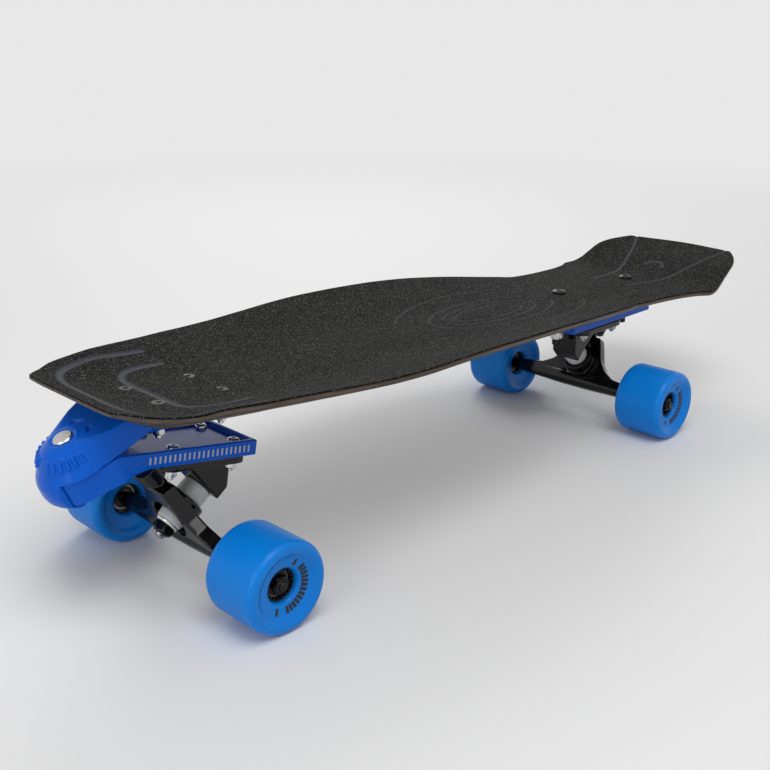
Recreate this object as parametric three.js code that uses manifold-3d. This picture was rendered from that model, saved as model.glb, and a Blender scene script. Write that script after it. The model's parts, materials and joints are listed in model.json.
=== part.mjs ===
// Surf skateboard. X points to the nose, Y to the left and Z up. All lengths are in millimetres.
import * as THREE from 'three';
import { mergeVertices } from 'three/addons/utils/BufferGeometryUtils.js';
import Module from 'manifold-3d';

const wasm = await Module();
wasm.setup();

// Clearances
const fit = 0.3;
const seat = 0.25;
const swing = 0.6;
const overrun = 4;

// Wheels
const wheelBase = 514.8;
const track = 194;
const wheelRadius = 35;
const wheelWidth = 52;
const wheelLip = 6.5;
const mouthRadius = 16.5;
const mouthDepth = 2;
const coreRadius = 15.5;
const coreWidth = 26;
const coreShow = 2.2;
const shoulderHeight = 2.3;

// Bearings and axles
const bearingRadius = 11;
const bearingWidth = 7;
const bearingInset = 1;
const axleRadius = 4;
const axleLength = 244;
const axleNutRadius = 7.2;
const axleNutLength = 6.5;

// Trucks, with sizes seen from the side as out from the axle and up from the axle
const truckHeight = 66;
const patternOut = 5.6;
const ringOut = 4.5;
const ringUp = 22;
const steerAngle = THREE.MathUtils.degToRad(43.5);
const pivotReach = 40;
const flangeLength = 74;
const flangeWidth = 57;
const flangeThickness = 6.5;
const flangeCorner = 9;
const blockWidth = 28;
const blockDepth = 12;
const bossRadius = 10.8;
const ringRadius = 15.5;
const ringLength = 11;
const ringHole = 8;
const beamRadius = 8.5;
const beamEndRadius = 6.5;
const webThickness = 12;
const webEndRoom = 6.7;
const webHeight = 50;
const washerRoom = 17;
const stemRadius = 7.5;
const neckRadius = 5.2;
const ballRadius = 5.5;
const cupWall = 2.4;
const cupLap = 3;

// Half of the hanger's web, each row as shares of its reach and of its height
const webShares = [[1, 0], [1, 0.1], [0.577, 0.18], [0.423, 0.32], [0.32, 0.5], [0.231, 0.8], [0.167, 1]];

// Kingpins and bushings
const kingpinRadius = 5;
const kingpinTail = 2.5;
const kingpinSink = 11;
const kingpinNutRadius = 8.7;
const kingpinNutLength = 7.4;
const bushingRadius = 12;
const bushingWaist = 11;
const upperBushing = 13.2;
const lowerBushing = 11.2;
const lowerBushingEnd = 9.5;
const washerRadius = 10;
const washerThickness = 2;

// Truck and deck bolts
const boltSpacing = 54;
const boltGauge = 41.3;
const boltRadius = 2.4;
const boltHeadRadius = 5;
const boltHeadHeight = 3;
const boltNutRadius = 4.7;
const boltNutLength = 5;
const boltTail = 2;

// Deck, whose rows run from the tail to the nose
const deckPatternOut = 1.6;
const tailReach = 197.6;
const noseReach = 90.6;
const deckWidth = 234.6;
const deckThickness = 10;
const deckEdge = 2;
const deckFlat = 33;
const noseRise = 37;
const railLift = 17.8;
const tailBulge = 13;
const gripThickness = 1;
const gripInset = 0.6;
const railCurvePower = 1.6;
const bulgeEndShare = 0.0822;
const railShares = [0.4, 0.7, 1];

// Each row holds the place along the deck, the width, the height at the centre and the lift of the rail
const deckShares = [
  [0, 0.5627, 0.65, 0.056],
  [0.0087, 0.618, 0.6, 0.084],
  [0.0274, 0.7033, 0.486, 0.169],
  [0.0461, 0.7425, 0.365, 0.225],
  [0.0672, 0.7639, 0.205, 0.146],
  [0.0822, 0.7792, 0.095, 0.045],
  [0.0984, 0.8014, 0.024, 0],
  [0.1133, 0.8159, 0.0084, 0],
  [0.1333, 0.7613, 0.0246, 0],
  [0.1619, 0.7161, 0.048, 0],
  [0.193, 0.694, 0.0734, 0],
  [0.2304, 0.682, 0.1039, 0],
  [0.264, 0.682, 0.1314, 0.028],
  [0.2951, 0.7332, 0.1568, 0.14],
  [0.33, 0.7886, 0.178, 0.298],
  [0.3736, 0.861, 0.197, 0.511],
  [0.411, 0.908, 0.208, 0.674],
  [0.4533, 0.9506, 0.222, 0.82],
  [0.5168, 0.9855, 0.24, 0.949],
  [0.5704, 0.9966, 0.262, 0.983],
  [0.6189, 1, 0.289, 0.955],
  [0.6625, 0.9915, 0.311, 0.876],
  [0.7024, 0.9753, 0.33, 0.775],
  [0.7559, 0.9318, 0.357, 0.713],
  [0.7883, 0.8986, 0.378, 0.719],
  [0.8194, 0.867, 0.397, 0.753],
  [0.8493, 0.8338, 0.4378, 0.725],
  [0.8792, 0.8099, 0.4787, 0.702],
  [0.9029, 0.78, 0.511, 0.702],
  [0.9203, 0.757, 0.5348, 0.708],
  [0.9328, 0.7442, 0.5519, 0.697],
  [0.9452, 0.717, 0.597, 0.635],
  [0.9552, 0.6837, 0.665, 0.528],
  [0.9651, 0.6351, 0.743, 0.388],
  [0.9738, 0.5797, 0.805, 0.3],
  [0.9838, 0.497, 0.878, 0.236],
  [0.9925, 0.4305, 0.94, 0.12],
  [1, 0.3751, 1, 0],
];

// Riser block and its two bolts
const riserHeight = 24.1;
const riserWidth = 58;
const riserFront = 52.4;
const riserRear = 93;
const riserBoltFront = 40.9;
const riserBoltRear = 85.6;
const riserBoltRadius = 4;
const riserHeadRadius = 7;
const riserHeadHeight = 3;
const riserWasherRadius = 8;
const riserWasherThickness = 2.8;
const riserNutRadius = 7.5;
const riserNutLength = 9;
const riserBoltTail = 6;

// Adapter arm, with sizes from the front truck's bolt pattern
const armSlope = THREE.MathUtils.degToRad(10);
const armWidth = 64;
const armRear = 40.9;
const armRim = 12;
const armWall = 4.5;
const armPocket = 3.5;
const armPocketFront = 56;
const armBend = 52.4;
const armKnee = 64.4;
const armKneeDrop = 2.75;
const armNose = 114;
const armNoseDrop = 36;

// Adapter pivot, placed from the same bolt pattern
const pivotOut = 92;
const pivotUp = 3;
const pivotLean = THREE.MathUtils.degToRad(23);
const bodyWidth = 62;
const hubMargin = 5;
const hubRadius = bodyWidth / 2 - hubMargin;
const hubHeight = 19.4;
const pivotBoltRadius = 5;
const pivotHeadRadius = 7;
const pivotHeadHeight = 1.5;
const bushWall = 2.2;
const pivotNutRadius = 8.5;
const pivotNutLength = 8;
const pivotTail = 2;

// Adapter body
const plateThickness = 7.5;
const plateRear = 44.4;
const plateChamfer = 5;
const crownWidth = 26;
const crownSlope = 1.2;
const headHeight = 18.5;
const headMargin = 0.2;
const headRadius = bodyWidth / 2 - headMargin;
const crownBack = 13;
const lipWidth = 31;
const lipHook = 6;
const lipFloor = 4.4;
const headShares = [[0, 1], [0.44, 1], [0.62, 0.91], [0.8, 0.62], [0.925, 0.24], [0.987, 0]];
const lipShares = [[0.987, 0], [1, 0.24], [0.98, 0.56], [0.925, 0.82], [0.795, 1]];

// Facets round each kind of piece
const wheelFacets = 32;
const coreFacets = 20;
const pinFacets = 12;
const screwFacets = 8;
const headFacets = 28;

const colours = {
  blue_paint: [0x0a6fe0, 0.3, 0.1],
  urethane: [0x2f95f0, 0.5, 0],
  black_paint: [0x101112, 0.25, 0.2],
  black_plastic: [0x0c0c0d, 0.5, 0],
  rubber: [0x161616, 0.8, 0],
  pale_urethane: [0xcfcfca, 0.4, 0],
  chrome: [0xd8d8d8, 0.2, 1],
  steel: [0x9a9a9a, 0.35, 1],
  ply: [0x6a4a30, 0.6, 0],
  grip: [0x1c1c1e, 0.95, 0],
};

const board = new THREE.Group();
board.name = 'surf_skateboard';

// Turns a geometry into a solid for cuts and joins
function solid(geometry) {
  const bare = geometry.index ? geometry.toNonIndexed() : geometry.clone();
  bare.deleteAttribute('normal');
  bare.deleteAttribute('uv');
  const merged = mergeVertices(bare, 1e-4);
  const mesh = new wasm.Mesh({
    numProp: 3,
    vertProperties: new Float32Array(merged.attributes.position.array),
    triVerts: new Uint32Array(merged.index.array),
  });
  return new wasm.Manifold(mesh);
}

// Adds a named mesh made from a solid or a geometry
function piece(name, slot, shape) {
  let geometry = shape;
  if (!shape.isBufferGeometry) {
    const mesh = shape.getMesh();
    geometry = new THREE.BufferGeometry();
    geometry.setAttribute('position', new THREE.BufferAttribute(new Float32Array(mesh.vertProperties), 3));
    geometry.setIndex(new THREE.BufferAttribute(new Uint32Array(mesh.triVerts), 1));
  }
  geometry.computeVertexNormals();
  const [color, roughness, metalness] = colours[slot];
  const material = new THREE.MeshStandardMaterial({ color, roughness, metalness });
  material.name = slot;
  const mesh = new THREE.Mesh(geometry, material);
  mesh.name = name;
  board.add(mesh);
}

// Turns a profile of [radius, height] points about the Y axis
function lathe(points, facets) {
  return new THREE.LatheGeometry(points.map(([r, y]) => new THREE.Vector2(r, y)), facets);
}

// A ring or a plain pin about the Y axis, from one height to another
function ring(inner, outer, low, high, facets) {
  const walls = [[inner, low], [outer, low], [outer, high], [inner, high]];
  return lathe(inner > 0 ? [...walls, walls[0]] : walls, facets);
}

// A six-sided nut or ring about the Y axis
function hexagon(inner, outer, low, high) {
  const nut = solid(ring(0, outer, low, high, 6));
  return inner > 0 ? nut.subtract(solid(ring(0, inner, low - overrun, high + overrun, pinFacets))) : nut;
}

// Extrudes a side view of [x, z] points over a width centred on Y
function slab(points, width) {
  const outline = new THREE.Shape(points.map(([x, z]) => new THREE.Vector2(x, z)));
  const geometry = new THREE.ExtrudeGeometry(outline, { depth: width, bevelEnabled: false });
  geometry.translate(0, 0, -width / 2);
  return geometry.rotateX(Math.PI / 2);
}

// Extrudes a plan of [x, y] points between two heights
function plate(points, low, high) {
  const outline = new THREE.Shape(points.map(([x, y]) => new THREE.Vector2(x, y)));
  const geometry = new THREE.ExtrudeGeometry(outline, { depth: high - low, bevelEnabled: false });
  return geometry.translate(0, 0, low);
}

function boxBetween(x0, x1, y0, y1, z0, z1) {
  return plate([[x0, y0], [x1, y0], [x1, y1], [x0, y1]], z0, z1);
}

// Moves a shape made about the Y axis so that it runs along a direction from a point
function along(origin, direction) {
  const turn = new THREE.Quaternion().setFromUnitVectors(new THREE.Vector3(0, 1, 0), direction.clone().normalize());
  return new THREE.Matrix4().compose(origin, turn, new THREE.Vector3(1, 1, 1));
}

function moved(shape, matrix) {
  return shape.isBufferGeometry ? shape.clone().applyMatrix4(matrix) : shape.transform(matrix.toArray());
}

// Skins closed rings of points, each [x, y, z], that mirror about their middle
function skin(rings) {
  const count = rings[0].length;
  const positions = rings.flat(2);
  const faces = [];
  for (let i = 0; i + 1 < rings.length; i += 1) {
    for (let j = 0; j < count; j += 1) {
      const a = i * count + j;
      const b = i * count + ((j + 1) % count);
      if (j < count / 2) faces.push(a, a + count, b, b, a + count, b + count);
      else faces.push(a, a + count, b + count, a, b + count, b);
    }
  }
  const last = (rings.length - 1) * count;
  for (let j = 0; j < count / 2 - 1; j += 1) {
    const k = count - 1 - j;
    faces.push(j, j + 1, k, j + 1, k - 1, k);
    faces.push(last + j, last + k, last + j + 1, last + j + 1, last + k, last + k - 1);
  }
  const geometry = new THREE.BufferGeometry();
  geometry.setAttribute('position', new THREE.Float32BufferAttribute(positions, 3));
  geometry.setIndex(faces);
  return geometry;
}

// Heights and places that several pieces share
const axleX = wheelBase / 2;
const truckTop = wheelRadius + truckHeight;
const riserBottom = truckTop + seat;
const tailX = -axleX - tailReach;
const noseX = axleX + noseReach;
const deckSpan = noseX - tailX;
const patternX = -axleX - patternOut;

// Reads one column of the deck's rows at a place along the deck
function deckShareAt(x, column) {
  const share = (x - tailX) / deckSpan;
  const found = deckShares.findIndex((row) => row[0] > share);
  const next = found < 0 ? deckShares.length - 1 : Math.max(found, 1);
  const [a, b] = [deckShares[next - 1], deckShares[next]];
  return a[column] + ((b[column] - a[column]) * (share - a[0])) / (b[0] - a[0]);
}

const deckBase = riserBottom + riserHeight + seat - noseRise * deckShareAt(patternX, 2);

// Height of the deck's underside on the centre line
function undersideAt(x) {
  return deckBase + noseRise * deckShareAt(x, 2);
}

// One closed ring of a sheet that follows the deck, between two heights over its underside
function deckRing(row, low, high, edge, inset) {
  const [place, width, rise, lift] = row;
  const half = (deckWidth / 2) * width;
  const reach = railShares.map((share) => deckFlat + (half - deckEdge - deckFlat) * share);
  const side = [0, deckFlat, ...reach.slice(0, -1), reach.at(-1) - inset];
  const ys = [...side.slice(1).reverse().map((y) => -y), ...side];
  const bulge = tailBulge * Math.max(0, 1 - place / bulgeEndShare);
  const end = place === 0 ? inset : place === 1 ? -inset : 0;
  const point = (y, level) => {
    const share = Math.max(0, Math.abs(y) - deckFlat) / (half - deckFlat);
    const x = tailX + deckSpan * place + end - bulge * (1 - (y / half) ** 2);
    return [x, y, deckBase + noseRise * rise + railLift * lift * share ** railCurvePower + level];
  };
  const top = ys.map((y) => point(y, high));
  const bottom = ys.map((y) => point(y, low)).reverse();
  if (edge === 0) return [...top, ...bottom];
  return [...top, point(half, high - edge), point(half, low + edge), ...bottom,
    point(-half, low + edge), point(-half, high - edge)];
}

function deckSheet(low, high, edge, inset) {
  const rings = deckShares.map((row) => deckRing(row, low, high, edge, inset));
  const turnBy = edge === 0 ? 0 : rings[0].length - 1;
  return skin(rings.map((points) => [...points.slice(turnBy), ...points.slice(0, turnBy)]));
}

// A bolt with its nut as one body, about Y, for a countersunk head whose top is at zero
function sunkScrew(grip) {
  const shank = solid(lathe([[0, -screwLength(grip)], [boltRadius, -screwLength(grip)],
    [boltRadius, -boltHeadHeight], [boltHeadRadius, 0], [0, 0]], screwFacets));
  return shank.add(hexagon(0, boltNutRadius, -grip - boltNutLength, -grip));
}

// The same with a round head that stands on a face at zero
function panScrew(grip) {
  const top = fit + boltHeadHeight;
  const shank = solid(lathe([[0, -screwLength(grip)], [boltRadius, -screwLength(grip)], [boltRadius, fit],
    [boltHeadRadius, fit], [boltHeadRadius, top - boltHeadHeight / 2], [boltHeadRadius / 2, top], [0, top]],
  screwFacets));
  return shank.add(hexagon(0, boltNutRadius, -grip - boltNutLength, -grip));
}

function screwLength(grip) {
  return grip + boltNutLength + boltTail;
}

function sunkHole(depth) {
  const bore = boltRadius + fit;
  const mouth = boltHeadRadius + fit;
  return solid(lathe([[0, -depth], [bore, -depth], [bore, -boltHeadHeight], [mouth, 0], [mouth, overrun],
    [0, overrun]], screwFacets));
}

function plainHole(depth) {
  return solid(ring(0, boltRadius + fit, -depth, overrun, screwFacets));
}

// The four places of a truck's bolt pattern round a centre
function pattern(centre) {
  return [-1, 1].flatMap((sx) => [-1, 1].map((sy) => [centre + (sx * boltSpacing) / 2, (sy * boltGauge) / 2]));
}

// Deck and grip tape, with the holes of the bolts that pass through them
const gripTop = deckThickness + fit + gripThickness;
const deckPattern = axleX + deckPatternOut;
const deckSlope = Math.atan2(undersideAt(deckPattern + boltSpacing / 2) - undersideAt(deckPattern - boltSpacing / 2),
  boltSpacing);
const deckNormal = new THREE.Vector3(-Math.sin(deckSlope), 0, Math.cos(deckSlope));
const deckScrewPlaces = pattern(deckPattern).map(([x, y]) => (
  along(new THREE.Vector3(x, y, undersideAt(x) + gripTop), deckNormal)));
const riserBoltPlaces = [-axleX + riserBoltFront, -axleX - riserBoltRear];
const deckScrewGrip = gripTop + seat + plateThickness + seat;

function deckHoles() {
  const holes = deckScrewPlaces.map((place) => moved(sunkHole(deckScrewGrip + overrun), place));
  for (const x of riserBoltPlaces) {
    const place = along(new THREE.Vector3(x, 0, undersideAt(x)), new THREE.Vector3(0, 0, 1));
    holes.push(moved(solid(ring(0, riserBoltRadius + fit, -overrun, gripTop + overrun, pinFacets)), place));
  }
  return holes;
}

function cutAll(shape, cuts) {
  return cuts.reduce((rest, cut) => rest.subtract(cut), shape);
}

function buildDeck() {
  const holes = deckHoles();
  piece('deck', 'ply', cutAll(solid(deckSheet(0, deckThickness, deckEdge, 0)), holes));
  const tape = solid(deckSheet(deckThickness + fit, gripTop, 0, gripInset));
  piece('grip_tape', 'grip', cutAll(tape, holes));
  deckScrewPlaces.forEach((place, index) => {
    piece(`deck_screw_${index + 1}`, 'chrome', moved(sunkScrew(deckScrewGrip), place));
  });
}

// Riser block, between the deck's underside and the rear truck
function buildRiser() {
  const front = -axleX + riserFront;
  const rear = -axleX - riserRear;
  const outline = [[rear, riserBottom], [front, riserBottom], [front, undersideAt(front) - seat],
    [rear, undersideAt(rear) - seat]];
  let block = solid(slab(outline, riserWidth));
  const up = new THREE.Vector3(0, 0, 1);
  for (const x of riserBoltPlaces) {
    const hole = ring(0, riserBoltRadius + fit, -overrun, riserHeight * 2, pinFacets);
    block = block.subtract(solid(moved(hole, along(new THREE.Vector3(x, 0, riserBottom), up))));
  }
  pattern(patternX).forEach(([x, y], index) => {
    const head = Math.min(undersideAt(x - boltHeadRadius), undersideAt(x + boltHeadRadius)) - seat - fit;
    const place = along(new THREE.Vector3(x, y, head), up);
    block = block.subtract(moved(sunkHole(riserHeight * 2), place));
    piece(`riser_screw_${index + 1}`, 'steel', moved(sunkScrew(head - truckTop + flangeThickness + seat), place));
  });
  piece('riser_block', 'blue_paint', block);
}

// One of the riser's two bolts with its washer and nut, as one body
function buildRiserBolt(name, x) {
  const head = undersideAt(x) + gripTop + fit;
  const washer = riserBottom - seat;
  const nut = washer - riserWasherThickness;
  const low = nut - riserNutLength - riserBoltTail;
  let bolt = solid(lathe([[0, low], [riserBoltRadius, low], [riserBoltRadius, head], [riserHeadRadius, head],
    [riserHeadRadius, head + riserHeadHeight / 2], [riserHeadRadius / 2, head + riserHeadHeight],
    [0, head + riserHeadHeight]], pinFacets));
  bolt = bolt.add(solid(ring(0, riserWasherRadius, nut, washer, pinFacets)));
  bolt = bolt.add(hexagon(0, riserNutRadius, nut - riserNutLength, nut));
  piece(name, 'chrome', moved(bolt, along(new THREE.Vector3(x, 0, 0), new THREE.Vector3(0, 0, 1))));
}

// Places in a truck's own frame: X outward, Y across, Z up from the axle
const ringCentre = new THREE.Vector3(ringOut, 0, ringUp);
const steerAxis = new THREE.Vector3(Math.cos(steerAngle), 0, Math.sin(steerAngle));
const kingpinAxis = new THREE.Vector3(Math.sin(steerAngle), 0, -Math.cos(steerAngle));
const pivotPoint = ringCentre.clone().addScaledVector(steerAxis, pivotReach);
const onKingpin = along(ringCentre, kingpinAxis);
const onPivotPoint = along(pivotPoint, steerAxis);
const bushingLow = -ringLength / 2 - fit - upperBushing;
const seatFace = bushingLow - fit;
const cupRadius = ballRadius + fit + cupWall;
const cupFloor = ballRadius + fit + cupWall;
const flangeIn = patternOut - flangeLength / 2;
const flangeLow = truckHeight - flangeThickness;

// A point on or behind the kingpin's seat face, a distance up the steering axis
function seatPoint(up, depth) {
  const point = ringCentre.clone().addScaledVector(kingpinAxis, seatFace - depth).addScaledVector(steerAxis, up);
  return [point.x, point.z];
}

function roundedPlan(x0, x1, half, corner) {
  const corners = [[x1, half, 0], [x0, half, 1], [x0, -half, 2], [x1, -half, 3]];
  return corners.flatMap(([x, y, quarter]) => [0, 1, 2, 3].map((step) => {
    const angle = (quarter + step / 3) * (Math.PI / 2);
    return [x - Math.sign(x - (x0 + x1) / 2) * corner + corner * Math.cos(angle),
      y - Math.sign(y) * corner + corner * Math.sin(angle)];
  }));
}

function buildBaseplate(prefix, matrix) {
  const plan = roundedPlan(flangeIn, flangeIn + flangeLength, flangeWidth / 2, flangeCorner);
  const inFlange = flangeLow + fit;
  const rise = (inFlange - seatPoint(0, 0)[1]) / steerAxis.z;
  const foot = -bushingRadius - fit;
  const back = seatPoint(foot, blockDepth);
  const block = [[back[0], inFlange], back, seatPoint(foot, 0), seatPoint(rise, 0)];
  let base = solid(plate(plan, flangeLow, truckHeight));
  base = base.add(solid(slab(block, blockWidth)));
  const boss = ring(0, bossRadius, -cupLap + fit, cupFloor + fit + cupWall, pinFacets);
  base = base.add(solid(moved(boss, onPivotPoint)));
  const bore = ring(0, cupRadius + fit, -cupLap - overrun, cupFloor + fit, pinFacets);
  base = base.subtract(solid(moved(bore, onPivotPoint)));
  const sink = ring(0, kingpinRadius + fit, seatFace - kingpinSink - fit, seatFace + overrun, pinFacets);
  base = base.subtract(solid(moved(sink, onKingpin)));
  for (const [x, y] of pattern(patternOut)) {
    const top = along(new THREE.Vector3(x, y, truckHeight), new THREE.Vector3(0, 0, 1));
    base = base.subtract(moved(plainHole(flangeThickness + overrun), top));
  }
  piece(`${prefix}_baseplate`, 'black_paint', moved(base, matrix));
}

// Hanger: a beam round the axle, a web, the ring of the kingpin, and a stem whose ball sits in the pivot cup
const hangerHalf = track / 2 - coreWidth / 2 + bearingInset - fit;

function ballPoint(degrees) {
  const angle = THREE.MathUtils.degToRad(degrees);
  return [ballRadius * Math.cos(angle), ballRadius * Math.sin(angle)];
}

// A flat web that rises from the axle to the pivot, without the room that the washer swings through
function buildWeb() {
  const reach = hangerHalf - webEndRoom;
  const half = webShares.map(([across, up]) => [reach * across, webHeight * up]);
  const outline = [...half, ...half.map(([y, up]) => [-y, up]).reverse()];
  const across = new THREE.Vector3(0, 1, 0);
  const rising = pivotPoint.clone().normalize();
  const frame = new THREE.Matrix4().makeBasis(across, rising, across.clone().cross(rising));
  const web = solid(moved(plate(outline, -webThickness / 2, webThickness / 2), frame));
  return web.subtract(solid(moved(ring(0, washerRoom, ringLength / 2, webHeight, headFacets), onKingpin)));
}

function buildHanger(prefix, matrix) {
  const half = hangerHalf;
  const beam = solid(lathe([[0, -half], [beamEndRadius, -half], [beamRadius, -ringRadius],
    [beamRadius, ringRadius], [beamEndRadius, half], [0, half]], pinFacets));
  const root = (ringHole + ringRadius) / 2 - pivotReach;
  const stem = lathe([[0, root], [stemRadius, root], [neckRadius, root / 2], [neckRadius, -cupLap],
    ...[0, 1, 2].map((step) => ballPoint(step * 30)), [0, ballRadius]], pinFacets);
  let hanger = beam.add(buildWeb()).add(solid(moved(stem, onPivotPoint)));
  const reach = ringRadius * 2;
  for (const [room, low, high] of [[bushingRadius, -reach, -ringLength / 2], [bushingWaist, ringLength / 2, reach]]) {
    hanger = hanger.subtract(solid(moved(ring(0, room + fit, low, high, headFacets), onKingpin)));
  }
  hanger = hanger.add(solid(moved(ring(0, ringRadius, -ringLength / 2, ringLength / 2, headFacets), onKingpin)));
  hanger = hanger.subtract(solid(moved(ring(0, ringHole, -ringLength, ringLength, coreFacets), onKingpin)));
  hanger = hanger.subtract(solid(ring(0, axleRadius + fit, -half - overrun, half + overrun, pinFacets)));
  piece(`${prefix}_hanger`, 'black_paint', moved(hanger, matrix));
}

function buildTruck(prefix, matrix) {
  buildBaseplate(prefix, matrix);
  buildHanger(prefix, matrix);
  const cup = lathe([[0, cupFloor], [cupRadius, cupFloor], [cupRadius, -cupLap], [ballRadius + fit, -cupLap],
    [ballRadius + fit, ballRadius + fit], [0, ballRadius + fit]].reverse(), pinFacets);
  piece(`${prefix}_pivot_cup`, 'rubber', moved(moved(cup, onPivotPoint), matrix));
  piece(`${prefix}_axle`, 'steel', moved(ring(0, axleRadius, -axleLength / 2, axleLength / 2, pinFacets), matrix));
  const bore = kingpinRadius + fit;
  const lowTop = ringLength / 2 + fit;
  const lowEnd = lowTop + lowerBushing;
  const washerTop = lowEnd + fit + washerThickness;
  const nutTop = washerTop + fit + kingpinNutLength;
  const pin = ring(0, kingpinRadius, seatFace - kingpinSink, nutTop + kingpinTail, pinFacets);
  const barrel = [[bore, bushingLow], [bushingWaist, bushingLow], [bushingRadius, bushingLow + upperBushing / 2],
    [bushingWaist, -ringLength / 2 - fit], [bore, -ringLength / 2 - fit], [bore, bushingLow]];
  const cone = [[bore, lowTop], [bushingWaist, lowTop], [lowerBushingEnd, lowEnd], [bore, lowEnd], [bore, lowTop]];
  const kit = {
    kingpin: ['steel', pin],
    upper_bushing: ['pale_urethane', lathe(barrel, coreFacets)],
    lower_bushing: ['pale_urethane', lathe(cone, coreFacets)],
    cup_washer: ['chrome', ring(bore, washerRadius, lowEnd + fit, washerTop, coreFacets)],
    kingpin_nut: ['chrome', hexagon(bore, kingpinNutRadius, washerTop + fit, nutTop)],
  };
  for (const [name, [slot, shape]] of Object.entries(kit)) {
    piece(`${prefix}_${name}`, slot, moved(moved(shape, onKingpin), matrix));
  }
}

// Wheel: profiles about the axle, with the outer face towards plus Y
function closeUp(points) {
  return [...points, points[0]];
}

function coreProfile() {
  const half = coreWidth / 2;
  const bore = bearingRadius + fit;
  const step = half - bearingInset - bearingWidth - fit;
  const neck = bore - shoulderHeight;
  return closeUp([[coreRadius, -half], [coreRadius, half], [bore, half], [bore, step], [neck, step],
    [neck, -step], [bore, -step], [bore, -half]]);
}

function buildWheel(name, matrix) {
  const half = wheelWidth / 2;
  const bore = coreRadius + fit;
  const coreEnd = coreWidth / 2 + fit;
  const turn = wheelLip * (1 - Math.SQRT1_2);
  const side = [[bore, coreEnd], [coreRadius - coreShow, coreEnd], [mouthRadius, half - mouthDepth],
    [wheelRadius - wheelLip, half], [wheelRadius - turn, half - turn], [wheelRadius, half - wheelLip]];
  const mirrored = side.map(([r, y]) => [r, -y]);
  const tyre = lathe(closeUp([...mirrored, ...side.reverse()]), wheelFacets);
  piece(`${name}_tyre`, 'urethane', moved(tyre, matrix));
  piece(`${name}_core`, 'black_plastic', moved(lathe(coreProfile(), coreFacets), matrix));
  const outer = coreWidth / 2 - bearingInset;
  const race = (low) => ring(axleRadius + fit, bearingRadius, low, low + bearingWidth, coreFacets);
  piece(`${name}_outer_bearing`, 'steel', moved(race(outer - bearingWidth), matrix));
  piece(`${name}_inner_bearing`, 'steel', moved(race(-outer), matrix));
  const nut = hexagon(axleRadius + fit, axleNutRadius, outer + fit, outer + fit + axleNutLength);
  piece(`${name}_axle_nut`, 'chrome', moved(nut, matrix));
}

function buildWheels(prefix, x) {
  for (const [side, sign] of [['left', 1], ['right', -1]]) {
    const outward = new THREE.Vector3(0, sign, 0);
    buildWheel(`${prefix}_${side}`, along(new THREE.Vector3(x, (sign * track) / 2, wheelRadius), outward));
  }
}

// Frames of the front truck and of the adapter's pivot
const frontTruck = new THREE.Matrix4().makeRotationY(-armSlope).setPosition(axleX, 0, wheelRadius);
const rearTruck = new THREE.Matrix4().makeRotationZ(Math.PI).setPosition(-axleX, 0, wheelRadius);
const armLow = truckHeight + seat;
const frontPattern = new THREE.Vector3(patternOut, 0, armLow).applyMatrix4(frontTruck);
const pivotOrigin = new THREE.Vector3(patternOut + pivotOut, 0, armLow + pivotUp).applyMatrix4(frontTruck);
const pivotFrame = new THREE.Matrix4().makeRotationY(pivotLean).setPosition(pivotOrigin);
const onPivot = pivotFrame.clone().multiply(new THREE.Matrix4().makeRotationX(Math.PI / 2));
const far = armRear + pivotOut;
const hubTop = -swing;
const hubLow = hubTop - hubHeight;

function turned(points, facets) {
  return solid(moved(lathe(points, facets), onPivot));
}

// A block in the pivot's frame, for cutting
function pivotBox(x0, x1, y0, y1, z0, z1) {
  return solid(moved(boxBetween(x0, x1, y0, y1, z0, z1), pivotFrame));
}

function buildArm() {
  const at = (out) => patternOut + out;
  const top = armLow + armRim;
  const half = armWidth / 2;
  const outline = [[at(-armRear), armLow], [at(armBend), armLow], [at(armKnee), armLow - armKneeDrop],
    [at(armNose), armLow - armNoseDrop], [at(armNose), top], [at(-armRear), top]];
  const shoulder = hubRadius / 2;
  const plan = [[-far * 2, -half], [-shoulder, -half], [shoulder, -shoulder * Math.sqrt(3)],
    [shoulder, shoulder * Math.sqrt(3)], [-shoulder, half], [-far * 2, half]];
  const knee = new THREE.Vector3(at(armKnee), 0, armLow - armKneeDrop).applyMatrix4(frontTruck);
  knee.applyMatrix4(pivotFrame.clone().invert());
  let arm = solid(moved(slab(outline, armWidth), frontTruck));
  arm = arm.intersect(solid(moved(plate(plan, -far, far), pivotFrame)));
  arm = arm.subtract(pivotBox(-far * 2, far, -half * 2, half * 2, hubTop, far));
  arm = arm.subtract(pivotBox(knee.x, far, -half * 2, half * 2, -far, hubLow));
  arm = arm.add(turned([[0, hubLow], [hubRadius, hubLow], [hubRadius, hubTop], [0, hubTop]], headFacets));
  const pocket = boxBetween(at(-armRear) + armWall, at(armPocketFront), armWall - half, half - armWall,
    top - armPocket, top + overrun);
  arm = arm.subtract(solid(moved(pocket, frontTruck)));
  const bore = pivotBoltRadius + fit + bushWall + fit;
  arm = arm.subtract(turned([[0, -far], [bore, -far], [bore, far], [0, far]], coreFacets));
  arm = fixArmScrews(arm, top - armPocket);
  piece('adapter_arm', 'blue_paint', arm);
}

// Bolts the front truck under the arm's floor and returns the arm with its holes
function fixArmScrews(arm, floor) {
  const up = new THREE.Vector3(0, 0, 1);
  const places = pattern(patternOut).map(([x, y]) => (
    frontTruck.clone().multiply(along(new THREE.Vector3(x, y, floor), up))));
  places.forEach((place, index) => {
    piece(`arm_screw_${index + 1}`, 'chrome', moved(panScrew(floor - flangeLow + seat), place));
  });
  return cutAll(arm, places.map((place) => moved(plainHole(armRim * 2), place)));
}

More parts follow.
